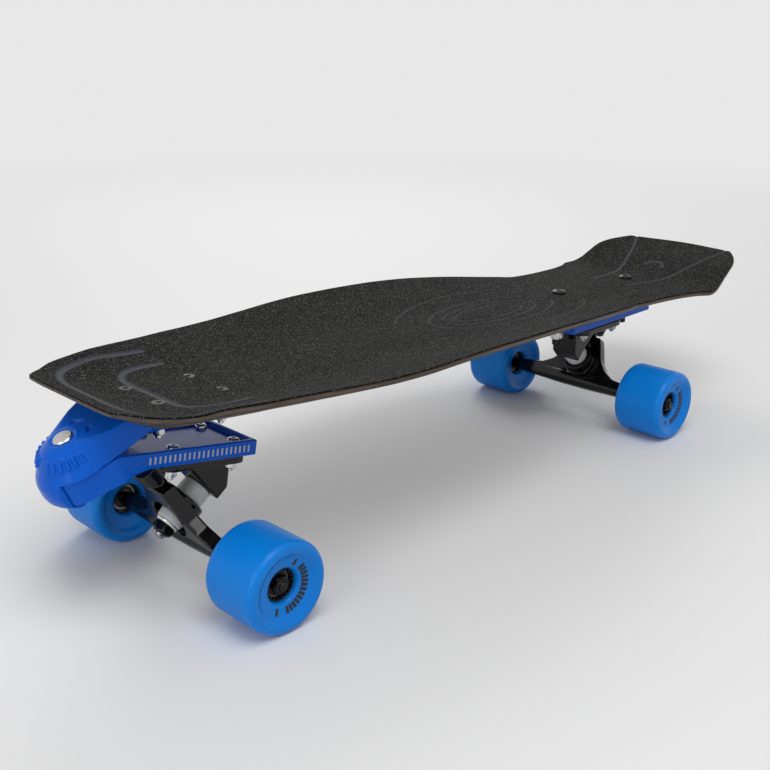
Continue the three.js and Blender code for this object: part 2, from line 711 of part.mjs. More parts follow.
// One section of the body: a crown, two sides and a chamfered foot
function bodyRing(x, low, crown) {
  const half = bodyWidth / 2;
  const high = undersideAt(x) - seat;
  const shoulder = Math.max(low + plateChamfer, high - (half - crown) * crownSlope);
  const foot = half - plateChamfer;
  return [[-crown, high], [crown, high], [half, shoulder], [half, low + plateChamfer], [foot, low],
    [-foot, low], [-half, low + plateChamfer], [-half, shoulder]].map(([y, z]) => [x, y, z]);
}

// The deck's rows between two places, with the places themselves
function deckPlaces(from, to) {
  const rows = deckShares.map(([share]) => tailX + deckSpan * share);
  return [from, ...rows.filter((x) => x > from && x < to), to];
}

function plateLow(x) {
  return undersideAt(x) - seat - plateThickness;
}

// Where the plate's underside comes down to the seam between the body and the arm
function seamStart() {
  let x = pivotOrigin.x - bodyWidth;
  while (plateLow(x) < pivotOrigin.z + (pivotOrigin.x - x) * Math.tan(pivotLean)) x += fit;
  return x;
}

// Adapter body: a plate under the deck that grows into cheeks, a round head and a lip over the hub
function buildBody() {
  const seam = seamStart();
  const narrow = pivotOrigin.x - crownBack;
  const end = pivotOrigin.x + headHeight;
  const wide = (bodyWidth - overrun) / 2;
  const crownAt = (x) => wide + (crownWidth / 2 - wide) * THREE.MathUtils.clamp((x - seam) / (narrow - seam), 0, 1);
  const plateRings = deckPlaces(axleX - plateRear, end).map((x) => bodyRing(x, plateLow(x), crownAt(x)));
  const cheekRings = deckPlaces(seam, end).map((x) => bodyRing(x, pivotOrigin.z - far, crownAt(x)));
  let body = solid(skin(cheekRings)).subtract(pivotBox(-far, far, -far, far, -far * 2, 0));
  body = body.add(solid(skin(plateRings)));
  body = body.subtract(pivotBox(0, far, -far, far, -far, far));
  body = body.subtract(pivotBox(-crownBack, far, -far, far, headHeight, far));
  const dome = headShares.map(([r, w]) => [headRadius * r, headHeight * w]).reverse();
  body = body.add(turned([[0, 0], ...dome], headFacets));
  body = body.add(buildLip());
  const bore = pivotBoltRadius + fit;
  body = body.subtract(turned([[0, -far], [bore, -far], [bore, far], [0, far]], pinFacets));
  piece('adapter_body', 'blue_paint', cutAll(body, deckHoles()));
}

// The lip that hooks down over the front of the hub and under it
function buildLip() {
  const inner = hubRadius + swing;
  const floor = hubLow - swing;
  const low = floor - lipFloor;
  const hook = hubRadius - lipHook;
  const outside = lipShares.map(([r, w]) => [headRadius * r, low * w]).reverse();
  const lip = turned([[hook, low], ...outside, [inner + fit, swing], [inner, swing], [inner, floor],
    [hook, floor], [hook, low]], headFacets);
  return lip.intersect(pivotBox(0, far, -lipWidth / 2, lipWidth / 2, -far, far));
}

function buildPivot() {
  const head = headHeight + fit;
  const nut = hubLow - fit;
  const low = nut - pivotNutLength - pivotTail;
  const bolt = lathe([[0, low], [pivotBoltRadius, low], [pivotBoltRadius, head], [pivotHeadRadius, head],
    [pivotHeadRadius, head + pivotHeadHeight], [0, head + pivotHeadHeight]], coreFacets);
  const inside = pivotBoltRadius + fit;
  piece('pivot_bolt', 'chrome', moved(bolt, onPivot));
  piece('pivot_nut', 'steel', moved(hexagon(inside, pivotNutRadius, nut - pivotNutLength, nut), onPivot));
  piece('pivot_bush', 'steel', moved(ring(inside, inside + bushWall, hubLow, hubTop - fit, coreFacets), onPivot));
}

buildDeck();
buildRiser();
buildRiserBolt('riser_bolt_front', riserBoltPlaces[0]);
buildRiserBolt('riser_bolt_rear', riserBoltPlaces[1]);
buildBody();
buildArm();
buildPivot();
buildTruck('front', frontTruck);
buildTruck('rear', rearTruck);
buildWheels('front', axleX);
buildWheels('rear', -axleX);

// The origin is the middle of the floor under the whole board
const bounds = new THREE.Box3().setFromObject(board);
const middle = bounds.getCenter(new THREE.Vector3());
board.children.forEach((mesh) => mesh.geometry.translate(-middle.x, -middle.y, -bounds.min.z));

export default board;
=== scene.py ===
# %% [markdown]
# # A surf skateboard
# A surf skateboard is a pressed deck on two tilting trucks, and its front truck hangs on an arm that swings.
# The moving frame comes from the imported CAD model. This scene gives every piece its finished shape and
# surface. All sizes below are in millimetres, and one helper turns them into metres where a mesh is made.

# %% Load the frame
import json
import math

import bmesh
import bpy
import numpy as np
from mathutils import Matrix, Vector
from mathutils.kdtree import KDTree


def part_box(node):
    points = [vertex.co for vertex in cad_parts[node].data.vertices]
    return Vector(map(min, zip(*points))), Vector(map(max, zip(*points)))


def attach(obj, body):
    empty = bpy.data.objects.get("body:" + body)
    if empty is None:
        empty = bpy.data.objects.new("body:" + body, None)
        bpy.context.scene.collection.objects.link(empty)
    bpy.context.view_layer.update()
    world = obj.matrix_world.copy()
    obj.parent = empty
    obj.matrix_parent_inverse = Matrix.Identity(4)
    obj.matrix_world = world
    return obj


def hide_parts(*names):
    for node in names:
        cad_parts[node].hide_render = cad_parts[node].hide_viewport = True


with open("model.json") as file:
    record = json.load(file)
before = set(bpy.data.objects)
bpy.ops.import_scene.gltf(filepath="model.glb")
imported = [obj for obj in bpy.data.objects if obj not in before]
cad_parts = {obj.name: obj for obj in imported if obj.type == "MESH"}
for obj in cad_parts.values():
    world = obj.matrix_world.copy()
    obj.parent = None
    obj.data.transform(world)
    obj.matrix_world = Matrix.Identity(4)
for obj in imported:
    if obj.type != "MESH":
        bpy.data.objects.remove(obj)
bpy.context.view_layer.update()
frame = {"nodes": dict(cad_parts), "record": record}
scene = bpy.context.scene
MM = 0.001

# %% [markdown]
# ## Camera
# The photograph was taken from in front of the nose, a little above the deck.
# A camera fitted to the four wheels gives the place, the three angles and the focal length that are used
# here. The angles are turned into three axes by hand, because that keeps the small roll exact.

# %% Camera
CAMERA_PLACE = Vector((0.71041, 0.60834, 0.40321))
CAMERA_YAW = math.radians(224.405)
CAMERA_PITCH = math.radians(19.215)
CAMERA_ROLL = math.radians(0.436)
CAMERA_LENS = 48.757


def camera_frame(place, yaw, pitch, roll):
    """The camera's matrix from its heading, its downward pitch and its roll."""
    level = math.cos(pitch)
    ahead = Vector((math.cos(yaw) * level, math.sin(yaw) * level, -math.sin(pitch)))
    right = ahead.cross(Vector((0, 0, 1))).normalized()
    up = right.cross(ahead)
    across = math.cos(roll) * right + math.sin(roll) * up
    rising = math.cos(roll) * up - math.sin(roll) * right
    columns = Matrix((across, rising, -ahead)).transposed()
    return Matrix.Translation(place) @ columns.to_4x4()


camera_data = bpy.data.cameras.new("photo_camera")
camera_data.lens = CAMERA_LENS
camera_data.sensor_width = 36
camera_data.clip_end = 100
camera = bpy.data.objects.new("photo_camera", camera_data)
scene.collection.objects.link(camera)
camera.matrix_world = camera_frame(CAMERA_PLACE, CAMERA_YAW, CAMERA_PITCH, CAMERA_ROLL)
scene.camera = camera

# %% [markdown]
# ## Shader helpers
# Every finish is a Principled shader with a few nodes in front of it.
# Two short helpers keep the wiring readable: one adds a node with its settings, the other starts a material.

# %% Shader helpers
def add_node(tree, kind, **settings):
    """Adds a node, sets its properties, and its sockets where a name starts with an underscore."""
    node = tree.nodes.new(kind)
    for name, value in settings.items():
        if name.startswith("_"):
            node.inputs[name[1:].replace("_", " ")].default_value = value
        else:
            setattr(node, name, value)
    return node


def new_finish(name, colour, roughness, metallic=0.0, coat=0.0, specular=0.5):
    """A material with its plain values set straight on the shader's own sockets."""
    material = bpy.data.materials.new(name)
    material.use_nodes = True
    shader = material.node_tree.nodes["Principled BSDF"]
    shader.inputs["Base Color"].default_value = (*colour, 1)
    shader.inputs["Roughness"].default_value = roughness
    shader.inputs["Metallic"].default_value = metallic
    shader.inputs["Coat Weight"].default_value = coat
    shader.inputs["Coat Roughness"].default_value = 0.06
    shader.inputs["Specular IOR Level"].default_value = specular
    material.diffuse_color = (*colour, 1)
    return material, material.node_tree, shader


# %% [markdown]
# ## Effects that several finishes share
# Paint is never quite flat: it has a faint ripple, and handling leaves it a little duller in patches.
# Both are patterns on the object's own coordinates, so they stay put when the view or the pose changes.
# They are built once as node groups, and each finish gives them its own scale and strength.

# %% Shared effect groups
def new_group(name, inputs, outputs):
    """An empty shader group with number inputs and named outputs."""
    group = bpy.data.node_groups.new(name, "ShaderNodeTree")
    for label, value in inputs.items():
        socket = group.interface.new_socket(name=label, in_out="INPUT", socket_type="NodeSocketFloat")
        socket.default_value = value
    for label, kind in outputs.items():
        group.interface.new_socket(name=label, in_out="OUTPUT", socket_type=kind)
    return group, group.nodes.new("NodeGroupInput"), group.nodes.new("NodeGroupOutput")


def ripple_group():
    """A fine ripple for a bump, and a soft patchy roughness."""
    group, given, made = new_group(
        "paint_ripple",
        {"Ripple Scale": 700.0, "Patch Scale": 40.0, "Low": 0.2, "High": 0.3},
        {"Height": "NodeSocketFloat", "Roughness": "NodeSocketFloat"},
    )
    place = add_node(group, "ShaderNodeTexCoord")
    fine = add_node(group, "ShaderNodeTexNoise", _Detail=3.0)
    patch = add_node(group, "ShaderNodeTexNoise", _Detail=4.0, _Roughness=0.6)
    spread = add_node(group, "ShaderNodeMapRange", _From_Min=0.35, _From_Max=0.65)
    group.links.new(place.outputs["Object"], fine.inputs["Vector"])
    group.links.new(place.outputs["Object"], patch.inputs["Vector"])
    group.links.new(given.outputs["Ripple Scale"], fine.inputs["Scale"])
    group.links.new(given.outputs["Patch Scale"], patch.inputs["Scale"])
    group.links.new(patch.outputs["Fac"], spread.inputs["Value"])
    group.links.new(given.outputs["Low"], spread.inputs["To Min"])
    group.links.new(given.outputs["High"], spread.inputs["To Max"])
    group.links.new(fine.outputs["Fac"], made.inputs["Height"])
    group.links.new(spread.outputs["Result"], made.inputs["Roughness"])
    return group


def speck_group():
    """A mask of scattered specks, and their height."""
    group, given, made = new_group(
        "specks", {"Scale": 900.0, "Share": 0.1}, {"Mask": "NodeSocketFloat", "Height": "NodeSocketFloat"}
    )
    place = add_node(group, "ShaderNodeTexCoord")
    cells = add_node(group, "ShaderNodeTexVoronoi", feature="F1")
    pick = add_node(group, "ShaderNodeSeparateColor")
    chosen = add_node(group, "ShaderNodeMapRange", _To_Min=1.0, _To_Max=0.0)
    near = add_node(group, "ShaderNodeMapRange", _From_Min=0.15, _From_Max=0.5, _To_Min=1.0, _To_Max=0.0)
    both = add_node(group, "ShaderNodeMath", operation="MULTIPLY")
    rise = add_node(group, "ShaderNodeMath", operation="SUBTRACT")
    rise.inputs[0].default_value = 1.0
    group.links.new(place.outputs["Object"], cells.inputs["Vector"])
    group.links.new(given.outputs["Scale"], cells.inputs["Scale"])
    group.links.new(cells.outputs["Color"], pick.inputs["Color"])
    group.links.new(pick.outputs["Red"], chosen.inputs["Value"])
    group.links.new(given.outputs["Share"], chosen.inputs["From Max"])
    group.links.new(cells.outputs["Distance"], near.inputs["Value"])
    group.links.new(chosen.outputs["Result"], both.inputs[0])
    group.links.new(near.outputs["Result"], both.inputs[1])
    group.links.new(cells.outputs["Distance"], rise.inputs[1])
    group.links.new(both.outputs["Value"], made.inputs["Mask"])
    group.links.new(rise.outputs["Value"], made.inputs["Height"])
    return group


RIPPLE = ripple_group()
SPECKS = speck_group()


def put_ripple(tree, shader, scale, low, high, strength, distance):
    """Wires the ripple group to a shader's roughness and, through a bump, to its normal."""
    ripple = add_node(tree, "ShaderNodeGroup", node_tree=RIPPLE)
    ripple.inputs["Ripple Scale"].default_value = scale
    ripple.inputs["Low"].default_value = low
    ripple.inputs["High"].default_value = high
    bump = add_node(tree, "ShaderNodeBump", _Strength=strength, _Distance=distance)
    tree.links.new(ripple.outputs["Height"], bump.inputs["Height"])
    tree.links.new(ripple.outputs["Roughness"], shader.inputs["Roughness"])
    tree.links.new(bump.outputs["Normal"], shader.inputs["Normal"])
    return ripple


# %% [markdown]
# ## Paints, plastics and metals
# The castings have a thick gloss blue coat, the trucks a gloss black one, and the wheels are satin cast
# urethane. The bolts are bright or blackened steel. Each is a base colour with its own ripple and its own
# patches.

# %% Paints, plastics and metals
blue_casting, tree, shader = new_finish("blue_casting", (0.0, 0.098, 0.56), 0.2, coat=0.04, specular=0.14)
put_ripple(tree, shader, 420.0, 0.16, 0.26, 0.12, 0.0006)

black_gloss, tree, shader = new_finish("black_gloss", (0.004, 0.004, 0.0045), 0.14, coat=0.1, specular=0.3)
put_ripple(tree, shader, 500.0, 0.1, 0.2, 0.1, 0.0006)

core_plastic, tree, shader = new_finish("core_plastic", (0.005, 0.005, 0.006), 0.35, specular=0.3)
put_ripple(tree, shader, 1500.0, 0.28, 0.42, 0.1, 0.0004)

pale_bushing, tree, shader = new_finish("pale_bushing", (0.62, 0.62, 0.6), 0.35)
put_ripple(tree, shader, 800.0, 0.3, 0.42, 0.08, 0.0005)

soft_black, tree, shader = new_finish("soft_black", (0.016, 0.016, 0.017), 0.6)
put_ripple(tree, shader, 1200.0, 0.5, 0.7, 0.15, 0.0004)

bright_steel, tree, shader = new_finish("bright_steel", (0.6, 0.59, 0.57), 0.2, metallic=1.0)
put_ripple(tree, shader, 2200.0, 0.14, 0.3, 0.08, 0.0003)

plain_steel, tree, shader = new_finish("plain_steel", (0.36, 0.36, 0.37), 0.3, metallic=1.0)
put_ripple(tree, shader, 2600.0, 0.26, 0.42, 0.12, 0.0003)

black_steel, tree, shader = new_finish("black_steel", (0.03, 0.03, 0.031), 0.24, metallic=1.0)
put_ripple(tree, shader, 2200.0, 0.2, 0.36, 0.12, 0.0003)

silver_ink, tree, shader = new_finish("silver_ink", (0.42, 0.42, 0.43), 0.4, metallic=0.4)
put_ripple(tree, shader, 3000.0, 0.35, 0.5, 0.2, 0.0002)

# %% [markdown]
# ## Wheel urethane
# Cast urethane is one colour with a silky skin, and very slow noise varies it by a hair.
# The tread is ground, so it is duller than the faces.
# Each tyre has a UV map whose first number runs round the wheel and whose second runs along the profile,
# and so one material serves all four wheels. A ring of plain black marks is printed on the outer face.

# %% Wheel urethane
TREAD_FROM, TREAD_TO, TREAD_DULLNESS = 0.27, 0.59, 0.16


def wheel_finish():
    """Satin blue urethane with a ground tread."""
    material, tree, shader = new_finish("wheel_urethane", (0.0, 0.19, 0.67), 0.22, coat=0.06, specular=0.18)
    ripple = put_ripple(tree, shader, 300.0, 0.26, 0.36, 0.06, 0.0006)
    place = add_node(tree, "ShaderNodeUVMap", uv_map="round_and_along")
    split = add_node(tree, "ShaderNodeSeparateXYZ")
    tree.links.new(place.outputs["UV"], split.inputs["Vector"])
    after = add_node(tree, "ShaderNodeMath", operation="GREATER_THAN")
    after.inputs[1].default_value = TREAD_FROM
    before = add_node(tree, "ShaderNodeMath", operation="LESS_THAN")
    before.inputs[1].default_value = TREAD_TO
    tread = add_node(tree, "ShaderNodeMath", operation="MULTIPLY")
    for test in (after, before):
        tree.links.new(split.outputs["Y"], test.inputs[0])
    tree.links.new(after.outputs["Value"], tread.inputs[0])
    tree.links.new(before.outputs["Value"], tread.inputs[1])
    dull = add_node(tree, "ShaderNodeMath", operation="MULTIPLY_ADD")
    dull.inputs[1].default_value = TREAD_DULLNESS
    tree.links.new(tread.outputs["Value"], dull.inputs[0])
    tree.links.new(ripple.outputs["Roughness"], dull.inputs[2])
    tree.links.new(dull.outputs["Value"], shader.inputs["Roughness"])
    tone = add_node(tree, "ShaderNodeTexNoise", _Scale=35.0, _Detail=4.0)
    colour = add_node(tree, "ShaderNodeValToRGB")
    colour.color_ramp.elements[0].color = (0.0, 0.178, 0.62, 1)
    colour.color_ramp.elements[1].color = (0.0, 0.21, 0.7, 1)
    where = add_node(tree, "ShaderNodeTexCoord")
    tree.links.new(where.outputs["Object"], tone.inputs["Vector"])
    tree.links.new(tone.outputs["Fac"], colour.inputs["Fac"])
    tree.links.new(colour.outputs["Color"], shader.inputs["Base Color"])
    return material


wheel_urethane = wheel_finish()
print_ink, tree, shader = new_finish("print_ink", (0.006, 0.006, 0.008), 0.35)
put_ripple(tree, shader, 900.0, 0.28, 0.42, 0.1, 0.0003)

# %% [markdown]
# ## Plywood
# The deck is glued from thin plies, which show as brown lines on its edge, and its faces are dark stained
# veneer. A UV map holds the height through the thickness, so the lines follow the deck wherever it bends.
# The veneer's grain is noise that is stretched along the board.

# %% Plywood
PLIES = 7


def plywood_finish():
    """Dark stained veneer, with ply lines from the UV map's height."""
    material, tree, shader = new_finish("plywood", (0.14, 0.09, 0.055), 0.5)
    height = add_node(tree, "ShaderNodeUVMap", uv_map="along_and_through")
    split = add_node(tree, "ShaderNodeSeparateXYZ")
    tree.links.new(height.outputs["UV"], split.inputs["Vector"])
    times = add_node(tree, "ShaderNodeMath", operation="MULTIPLY")
    times.inputs[1].default_value = PLIES * math.pi
    tree.links.new(split.outputs["Y"], times.inputs[0])
    wave = add_node(tree, "ShaderNodeMath", operation="SINE")
    tree.links.new(times.outputs["Value"], wave.inputs[0])
    line = add_node(tree, "ShaderNodeMapRange", _From_Min=-0.5, _From_Max=0.5)
    tree.links.new(wave.outputs["Value"], line.inputs["Value"])
    where = add_node(tree, "ShaderNodeTexCoord")
    stretch = add_node(tree, "ShaderNodeMapping")
    stretch.inputs["Scale"].default_value = (9.0, 160.0, 160.0)
    grain = add_node(tree, "ShaderNodeTexNoise", _Scale=1.0, _Detail=6.0, _Roughness=0.65, _Distortion=0.6)
    tree.links.new(where.outputs["Object"], stretch.inputs["Vector"])
    tree.links.new(stretch.outputs["Vector"], grain.inputs["Vector"])
    veneer = add_node(tree, "ShaderNodeValToRGB")
    veneer.color_ramp.elements[0].position = 0.32
    veneer.color_ramp.elements[0].color = (0.03, 0.02, 0.013, 1)
    veneer.color_ramp.elements[1].position = 0.68
    veneer.color_ramp.elements[1].color = (0.12, 0.082, 0.052, 1)
    tree.links.new(grain.outputs["Fac"], veneer.inputs["Fac"])
    dark = add_node(tree, "ShaderNodeMix", data_type="RGBA", blend_type="MULTIPLY")
    dark.inputs[7].default_value = (0.45, 0.38, 0.32, 1)
    tree.links.new(line.outputs["Result"], dark.inputs[0])
    tree.links.new(veneer.outputs["Color"], dark.inputs[6])
    tree.links.new(dark.outputs[2], shader.inputs["Base Color"])
    bump = add_node(tree, "ShaderNodeBump", _Strength=0.25, _Distance=0.0004)
    tree.links.new(grain.outputs["Fac"], bump.inputs["Height"])
    tree.links.new(bump.outputs["Normal"], shader.inputs["Normal"])
    return material


plywood = plywood_finish()

# %% [markdown]
# ## Grip
# Grip tape is coarse black grit on a cloth, and single grains catch the light like sparks.
# The grit is a cell pattern under a millimetre across: it gives the bump, and a few chosen cells are glossy
# and painted pale as a glint. Inside the carved lines the tape is pressed smooth, and an attribute on the mesh
# says where that is; there its colour is painted paler, a painted sheen, most in the nose lines and least in
# the middle ones.

# %% Grip finish
def grip_finish():
    """Black grit with grains painted pale as glints, smoother inside the carved lines with a painted sheen."""
    material, tree, shader = new_finish("grip", (0.006, 0.006, 0.006), 0.8, specular=0.1)
    coarse = add_node(tree, "ShaderNodeGroup", node_tree=SPECKS)
    coarse.inputs["Scale"].default_value = 1050.0
    coarse.inputs["Share"].default_value = 0.55
    groove = add_node(tree, "ShaderNodeAttribute", attribute_name="carved")
    rest = add_node(tree, "ShaderNodeMath", operation="SUBTRACT")
    rest.inputs[0].default_value = 1.0
    tree.links.new(groove.outputs["Fac"], rest.inputs[1])
    spark = add_node(tree, "ShaderNodeMath", operation="MULTIPLY")
    tree.links.new(coarse.outputs["Mask"], spark.inputs[0])
    tree.links.new(rest.outputs["Value"], spark.inputs[1])
    patch = add_node(tree, "ShaderNodeTexNoise", _Scale=14.0, _Detail=5.0, _Roughness=0.6)
    where = add_node(tree, "ShaderNodeTexCoord")
    tree.links.new(where.outputs["Object"], patch.inputs["Vector"])
    base = add_node(tree, "ShaderNodeValToRGB")
    base.color_ramp.elements[0].position = 0.35
    base.color_ramp.elements[0].color = (0.0035, 0.0033, 0.0031, 1)
    base.color_ramp.elements[1].position = 0.65
    base.color_ramp.elements[1].color = (0.008, 0.0076, 0.0072, 1)
    tree.links.new(patch.outputs["Fac"], base.inputs["Fac"])
    # Painted sheen: inside the carved lines the grit's colour is mixed towards a paler blue-grey.
    smooth = add_node(tree, "ShaderNodeMix", data_type="RGBA")
    smooth.inputs[7].default_value = (0.05, 0.052, 0.062, 1)
    tree.links.new(groove.outputs["Fac"], smooth.inputs[0])
    tree.links.new(base.outputs["Color"], smooth.inputs[6])
    # Painted glint: the chosen grains are painted pale, and the roughness below also makes them glossy.
    painted_glint = add_node(tree, "ShaderNodeMix", data_type="RGBA")
    painted_glint.inputs[7].default_value = (0.24, 0.23, 0.22, 1)
    tree.links.new(spark.outputs["Value"], painted_glint.inputs[0])
    tree.links.new(smooth.outputs[2], painted_glint.inputs[6])
    tree.links.new(painted_glint.outputs[2], shader.inputs["Base Color"])
    shine = add_node(tree, "ShaderNodeMapRange", _To_Min=0.85, _To_Max=0.45)
    either = add_node(tree, "ShaderNodeMath", operation="MAXIMUM")
    tree.links.new(spark.outputs["Value"], either.inputs[0])
    worn = add_node(tree, "ShaderNodeMath", operation="MULTIPLY")
    worn.inputs[1].default_value = 0.4
    tree.links.new(groove.outputs["Fac"], worn.inputs[0])
    tree.links.new(worn.outputs["Value"], either.inputs[1])
    tree.links.new(either.outputs["Value"], shine.inputs["Value"])
    tree.links.new(shine.outputs["Result"], shader.inputs["Roughness"])
    rise = add_node(tree, "ShaderNodeMath", operation="MULTIPLY")
    tree.links.new(coarse.outputs["Height"], rise.inputs[0])
    tree.links.new(rest.outputs["Value"], rise.inputs[1])
    bump = add_node(tree, "ShaderNodeBump", _Strength=0.9, _Distance=0.0006)
    tree.links.new(rise.outputs["Value"], bump.inputs["Height"])
    tree.links.new(bump.outputs["Normal"], shader.inputs["Normal"])
    return material


grip = grip_finish()

# %% [markdown]
# ## Helpers for meshes
# A finished piece is one mesh whose object sits at the origin and rides on a body of the frame.
# Turned parts come from a profile, and a nut is turned as well, with its radius following a hexagon.

# %% Finished pieces
def finished(name, mesh, body, slot, *nodes, crease=35):
    """Links a mesh as a piece, smooth but for its sharp edges, and lets it stand for CAD nodes."""
    mesh.shade_smooth()
    mesh.set_sharp_from_angle(angle=math.radians(crease))
    piece = bpy.data.objects.new(name, mesh)
    scene.collection.objects.link(piece)
    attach(piece, body)
    if nodes:
        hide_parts(*nodes)
    print(name, "rides on", body, "with", len(mesh.polygons), "faces")
    return piece


def mesh_from(name, points, faces, *materials):
    """A mesh from points in millimetres, with its faces turned outwards."""
    mesh = bpy.data.meshes.new(name)
    mesh.from_pydata([[c * MM for c in p] for p in points], [], faces)
    for material in materials:
        mesh.materials.append(material)
    shape = bmesh.new()
    shape.from_mesh(mesh)
    bmesh.ops.recalc_face_normals(shape, faces=shape.faces)
    shape.to_mesh(mesh)
    shape.free()
    return mesh


# %% Turned shapes
def hexagon_reach(radius, angle):
    """How far a hexagon with this corner radius reaches at an angle."""
    flat = radius * math.cos(math.pi / 6)
    return flat / math.cos((angle % (math.pi / 3)) - math.pi / 6)


def turned(name, profile, *materials, around=96, closed=False):
    """A mesh turned about Z, from rows of (radius, height), with a third value where a hexagon is cut."""
    points, rows = [], []
    for radius, height, *cut in profile:
        if radius == 0:
            rows.append([len(points)] * around)
            points.append((0, 0, height))
            continue
        rows.append(list(range(len(points), len(points) + around)))
        for step in range(around):
            angle = 2 * math.pi * step / around
            reach = min(hexagon_reach(radius, angle), radius * cut[0]) if cut else radius
            points.append((reach * math.cos(angle), reach * math.sin(angle), height))
    pairs = list(zip(rows, rows[1:])) + ([(rows[-1], rows[0])] if closed else [])
    faces = []
    for low, high in pairs:
        for step in range(around):
            after = (step + 1) % around
            corners = [low[step], low[after], high[after], high[step]]
            faces.append(list(dict.fromkeys(corners)))
    return mesh_from(name, points, faces, *materials)


def rounded(profile, radius, steps=4, closed=False):
    """Rounds the corners of a profile with arcs of about this radius."""
    count = len(profile)
    out = []
    for i, corner in enumerate(profile):
        if not closed and i in (0, count - 1):
            out.append(corner)
            continue
        here = Vector(corner)
        back = Vector(profile[i - 1]) - here
        ahead = Vector(profile[(i + 1) % count]) - here
        reach = min(radius, back.length * 0.45, ahead.length * 0.45)
        start, end = here + back.normalized() * reach, here + ahead.normalized() * reach
        for step in range(steps + 1):
            t = step / steps
            out.append(tuple((1 - t) ** 2 * start + 2 * t * (1 - t) * here + t * t * end))
    return out


# %% [markdown]
# ## Frames for placing
# A truck, a wheel and the adapter's pivot are each made in their own axes, and then set in place as one.
# The places of the axles and the pivot come from the CAD model, and the angles repeat its values.

# %% Frames for placing
def place_frame(origin, x_axis, z_axis):
    """A matrix in metres with its origin in millimetres, from its X and Z directions."""
    x, z = Vector(x_axis).normalized(), Vector(z_axis).normalized()
    turn = Matrix((x, z.cross(x), z)).transposed()
    return Matrix.Translation(Vector(origin) * MM) @ turn.to_4x4()


def box_centre(node):
    """The middle of a CAD node's box, in millimetres."""
    low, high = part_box(node)
    return (low + high) / 2 / MM


def leaning(angle):
    """The X and Z directions of axes whose front end is raised by an angle."""
    return (math.cos(angle), 0, math.sin(angle)), (-math.sin(angle), 0, math.cos(angle))


ARM_SLOPE = math.radians(10)
PIVOT_LEAN = math.radians(23)
STEER_ANGLE = math.radians(43.5)
FRONT_AXLE, REAR_AXLE = box_centre("front_axle"), box_centre("rear_axle")
TRUCKS = {
    "front": place_frame(FRONT_AXLE, *leaning(ARM_SLOPE)),
    "rear": place_frame(REAR_AXLE, (-1, 0, 0), (0, 0, 1)),
}
JOINTS = frame["record"]["behaviour"]["joints"]
PIVOT_PLACE = Vector(next(joint["pos_m"] for joint in JOINTS if joint["name"] == "adapter_swing")) / MM
PIVOT = place_frame(PIVOT_PLACE, *leaning(-PIVOT_LEAN))
TRUCK_BODY = {"front": "arm", "rear": "board"}
print("axles", FRONT_AXLE, REAR_AXLE, "pivot", PIVOT_PLACE)


def placed(mesh, *matrices):
    """Moves a mesh into place through one or more frames, innermost last."""
    for matrix in reversed(matrices):
        mesh.transform(matrix)
    return mesh


# %% [markdown]
# ## The deck's surface
# The deck is pressed in a mould: a flat middle, rails that lift towards the sides, and a kicked nose and
# tail. Each row of the table is one station along the deck: its place, the width, the rise of the middle
# and the rail's lift. Most rows were measured on the board's edge through a fitted camera, which is why
# their numbers aren't round. A curve that never overshoots runs through the rows, so the outline keeps its
# corners and has no steps.

# %% Deck stations
DECK_ROWS = np.array([
    [0, 0.5627, 0.65, 0.056], [0.0087, 0.618, 0.6, 0.084], [0.0274, 0.7033, 0.486, 0.169],
    [0.0461, 0.7425, 0.365, 0.225], [0.0672, 0.7639, 0.205, 0.146], [0.0822, 0.7792, 0.095, 0.045],
    [0.0984, 0.8014, 0.024, 0], [0.1133, 0.8159, 0.0084, 0], [0.1333, 0.7613, 0.0246, 0],
    [0.1619, 0.7161, 0.048, 0], [0.193, 0.694, 0.0734, 0], [0.2304, 0.682, 0.1039, 0],
    [0.264, 0.682, 0.1314, 0.028], [0.2951, 0.7332, 0.1568, 0.14], [0.33, 0.7886, 0.178, 0.298],
    [0.3736, 0.861, 0.197, 0.511], [0.411, 0.908, 0.208, 0.674], [0.4533, 0.9506, 0.222, 0.82],
    [0.5168, 0.9855, 0.24, 0.949], [0.5704, 0.9966, 0.262, 0.983], [0.6189, 1, 0.289, 0.955],
    [0.6625, 0.9915, 0.311, 0.876], [0.7024, 0.9753, 0.33, 0.775], [0.7559, 0.9318, 0.357, 0.713],
    [0.7883, 0.8986, 0.378, 0.719], [0.8194, 0.867, 0.397, 0.753], [0.8493, 0.8338, 0.4378, 0.725],
    [0.8792, 0.8099, 0.4787, 0.702], [0.9029, 0.78, 0.511, 0.702], [0.9203, 0.757, 0.5348, 0.66],
    [0.9328, 0.7442, 0.5519, 0.6], [0.9452, 0.717, 0.597, 0.52], [0.9552, 0.6837, 0.665, 0.4],
    [0.9651, 0.6351, 0.743, 0.26], [0.9738, 0.5797, 0.805, 0.17], [0.9838, 0.515, 0.878, 0.11],
    [0.9925, 0.455, 0.94, 0.05],
])
DECK_WIDTH, DECK_THICKNESS, DECK_FLAT = 234.6, 10.0, 33.0
NOSE_RISE, RAIL_LIFT, TAIL_BULGE, BULGE_END, RAIL_POWER = 37.0, 17.8, 13.0, 0.0822, 1.6
TAIL_X = REAR_AXLE.x - 197.6
DECK_SPAN = FRONT_AXLE.x + 90.6 - TAIL_X
RISER_TOP = 125.6
NOSE_END = DECK_ROWS[-1, 0]
PATTERN_X = REAR_AXLE.x - 5.6


def steady_slopes(x, y):
    """Slopes for a curve through the points that never overshoots them."""
    step = np.diff(x)
    rise = np.diff(y) / step
    slopes = np.zeros_like(y)
    for i in range(1, len(y) - 1):
        if rise[i - 1] * rise[i] > 0:
            before, after = 2 * step[i] + step[i - 1], step[i] + 2 * step[i - 1]
            slopes[i] = (before + after) / (before / rise[i - 1] + after / rise[i])
    slopes[0], slopes[-1] = rise[0], rise[-1]
    return slopes


SLOPES = [steady_slopes(DECK_ROWS[:, 0], DECK_ROWS[:, k]) for k in (1, 2, 3)]


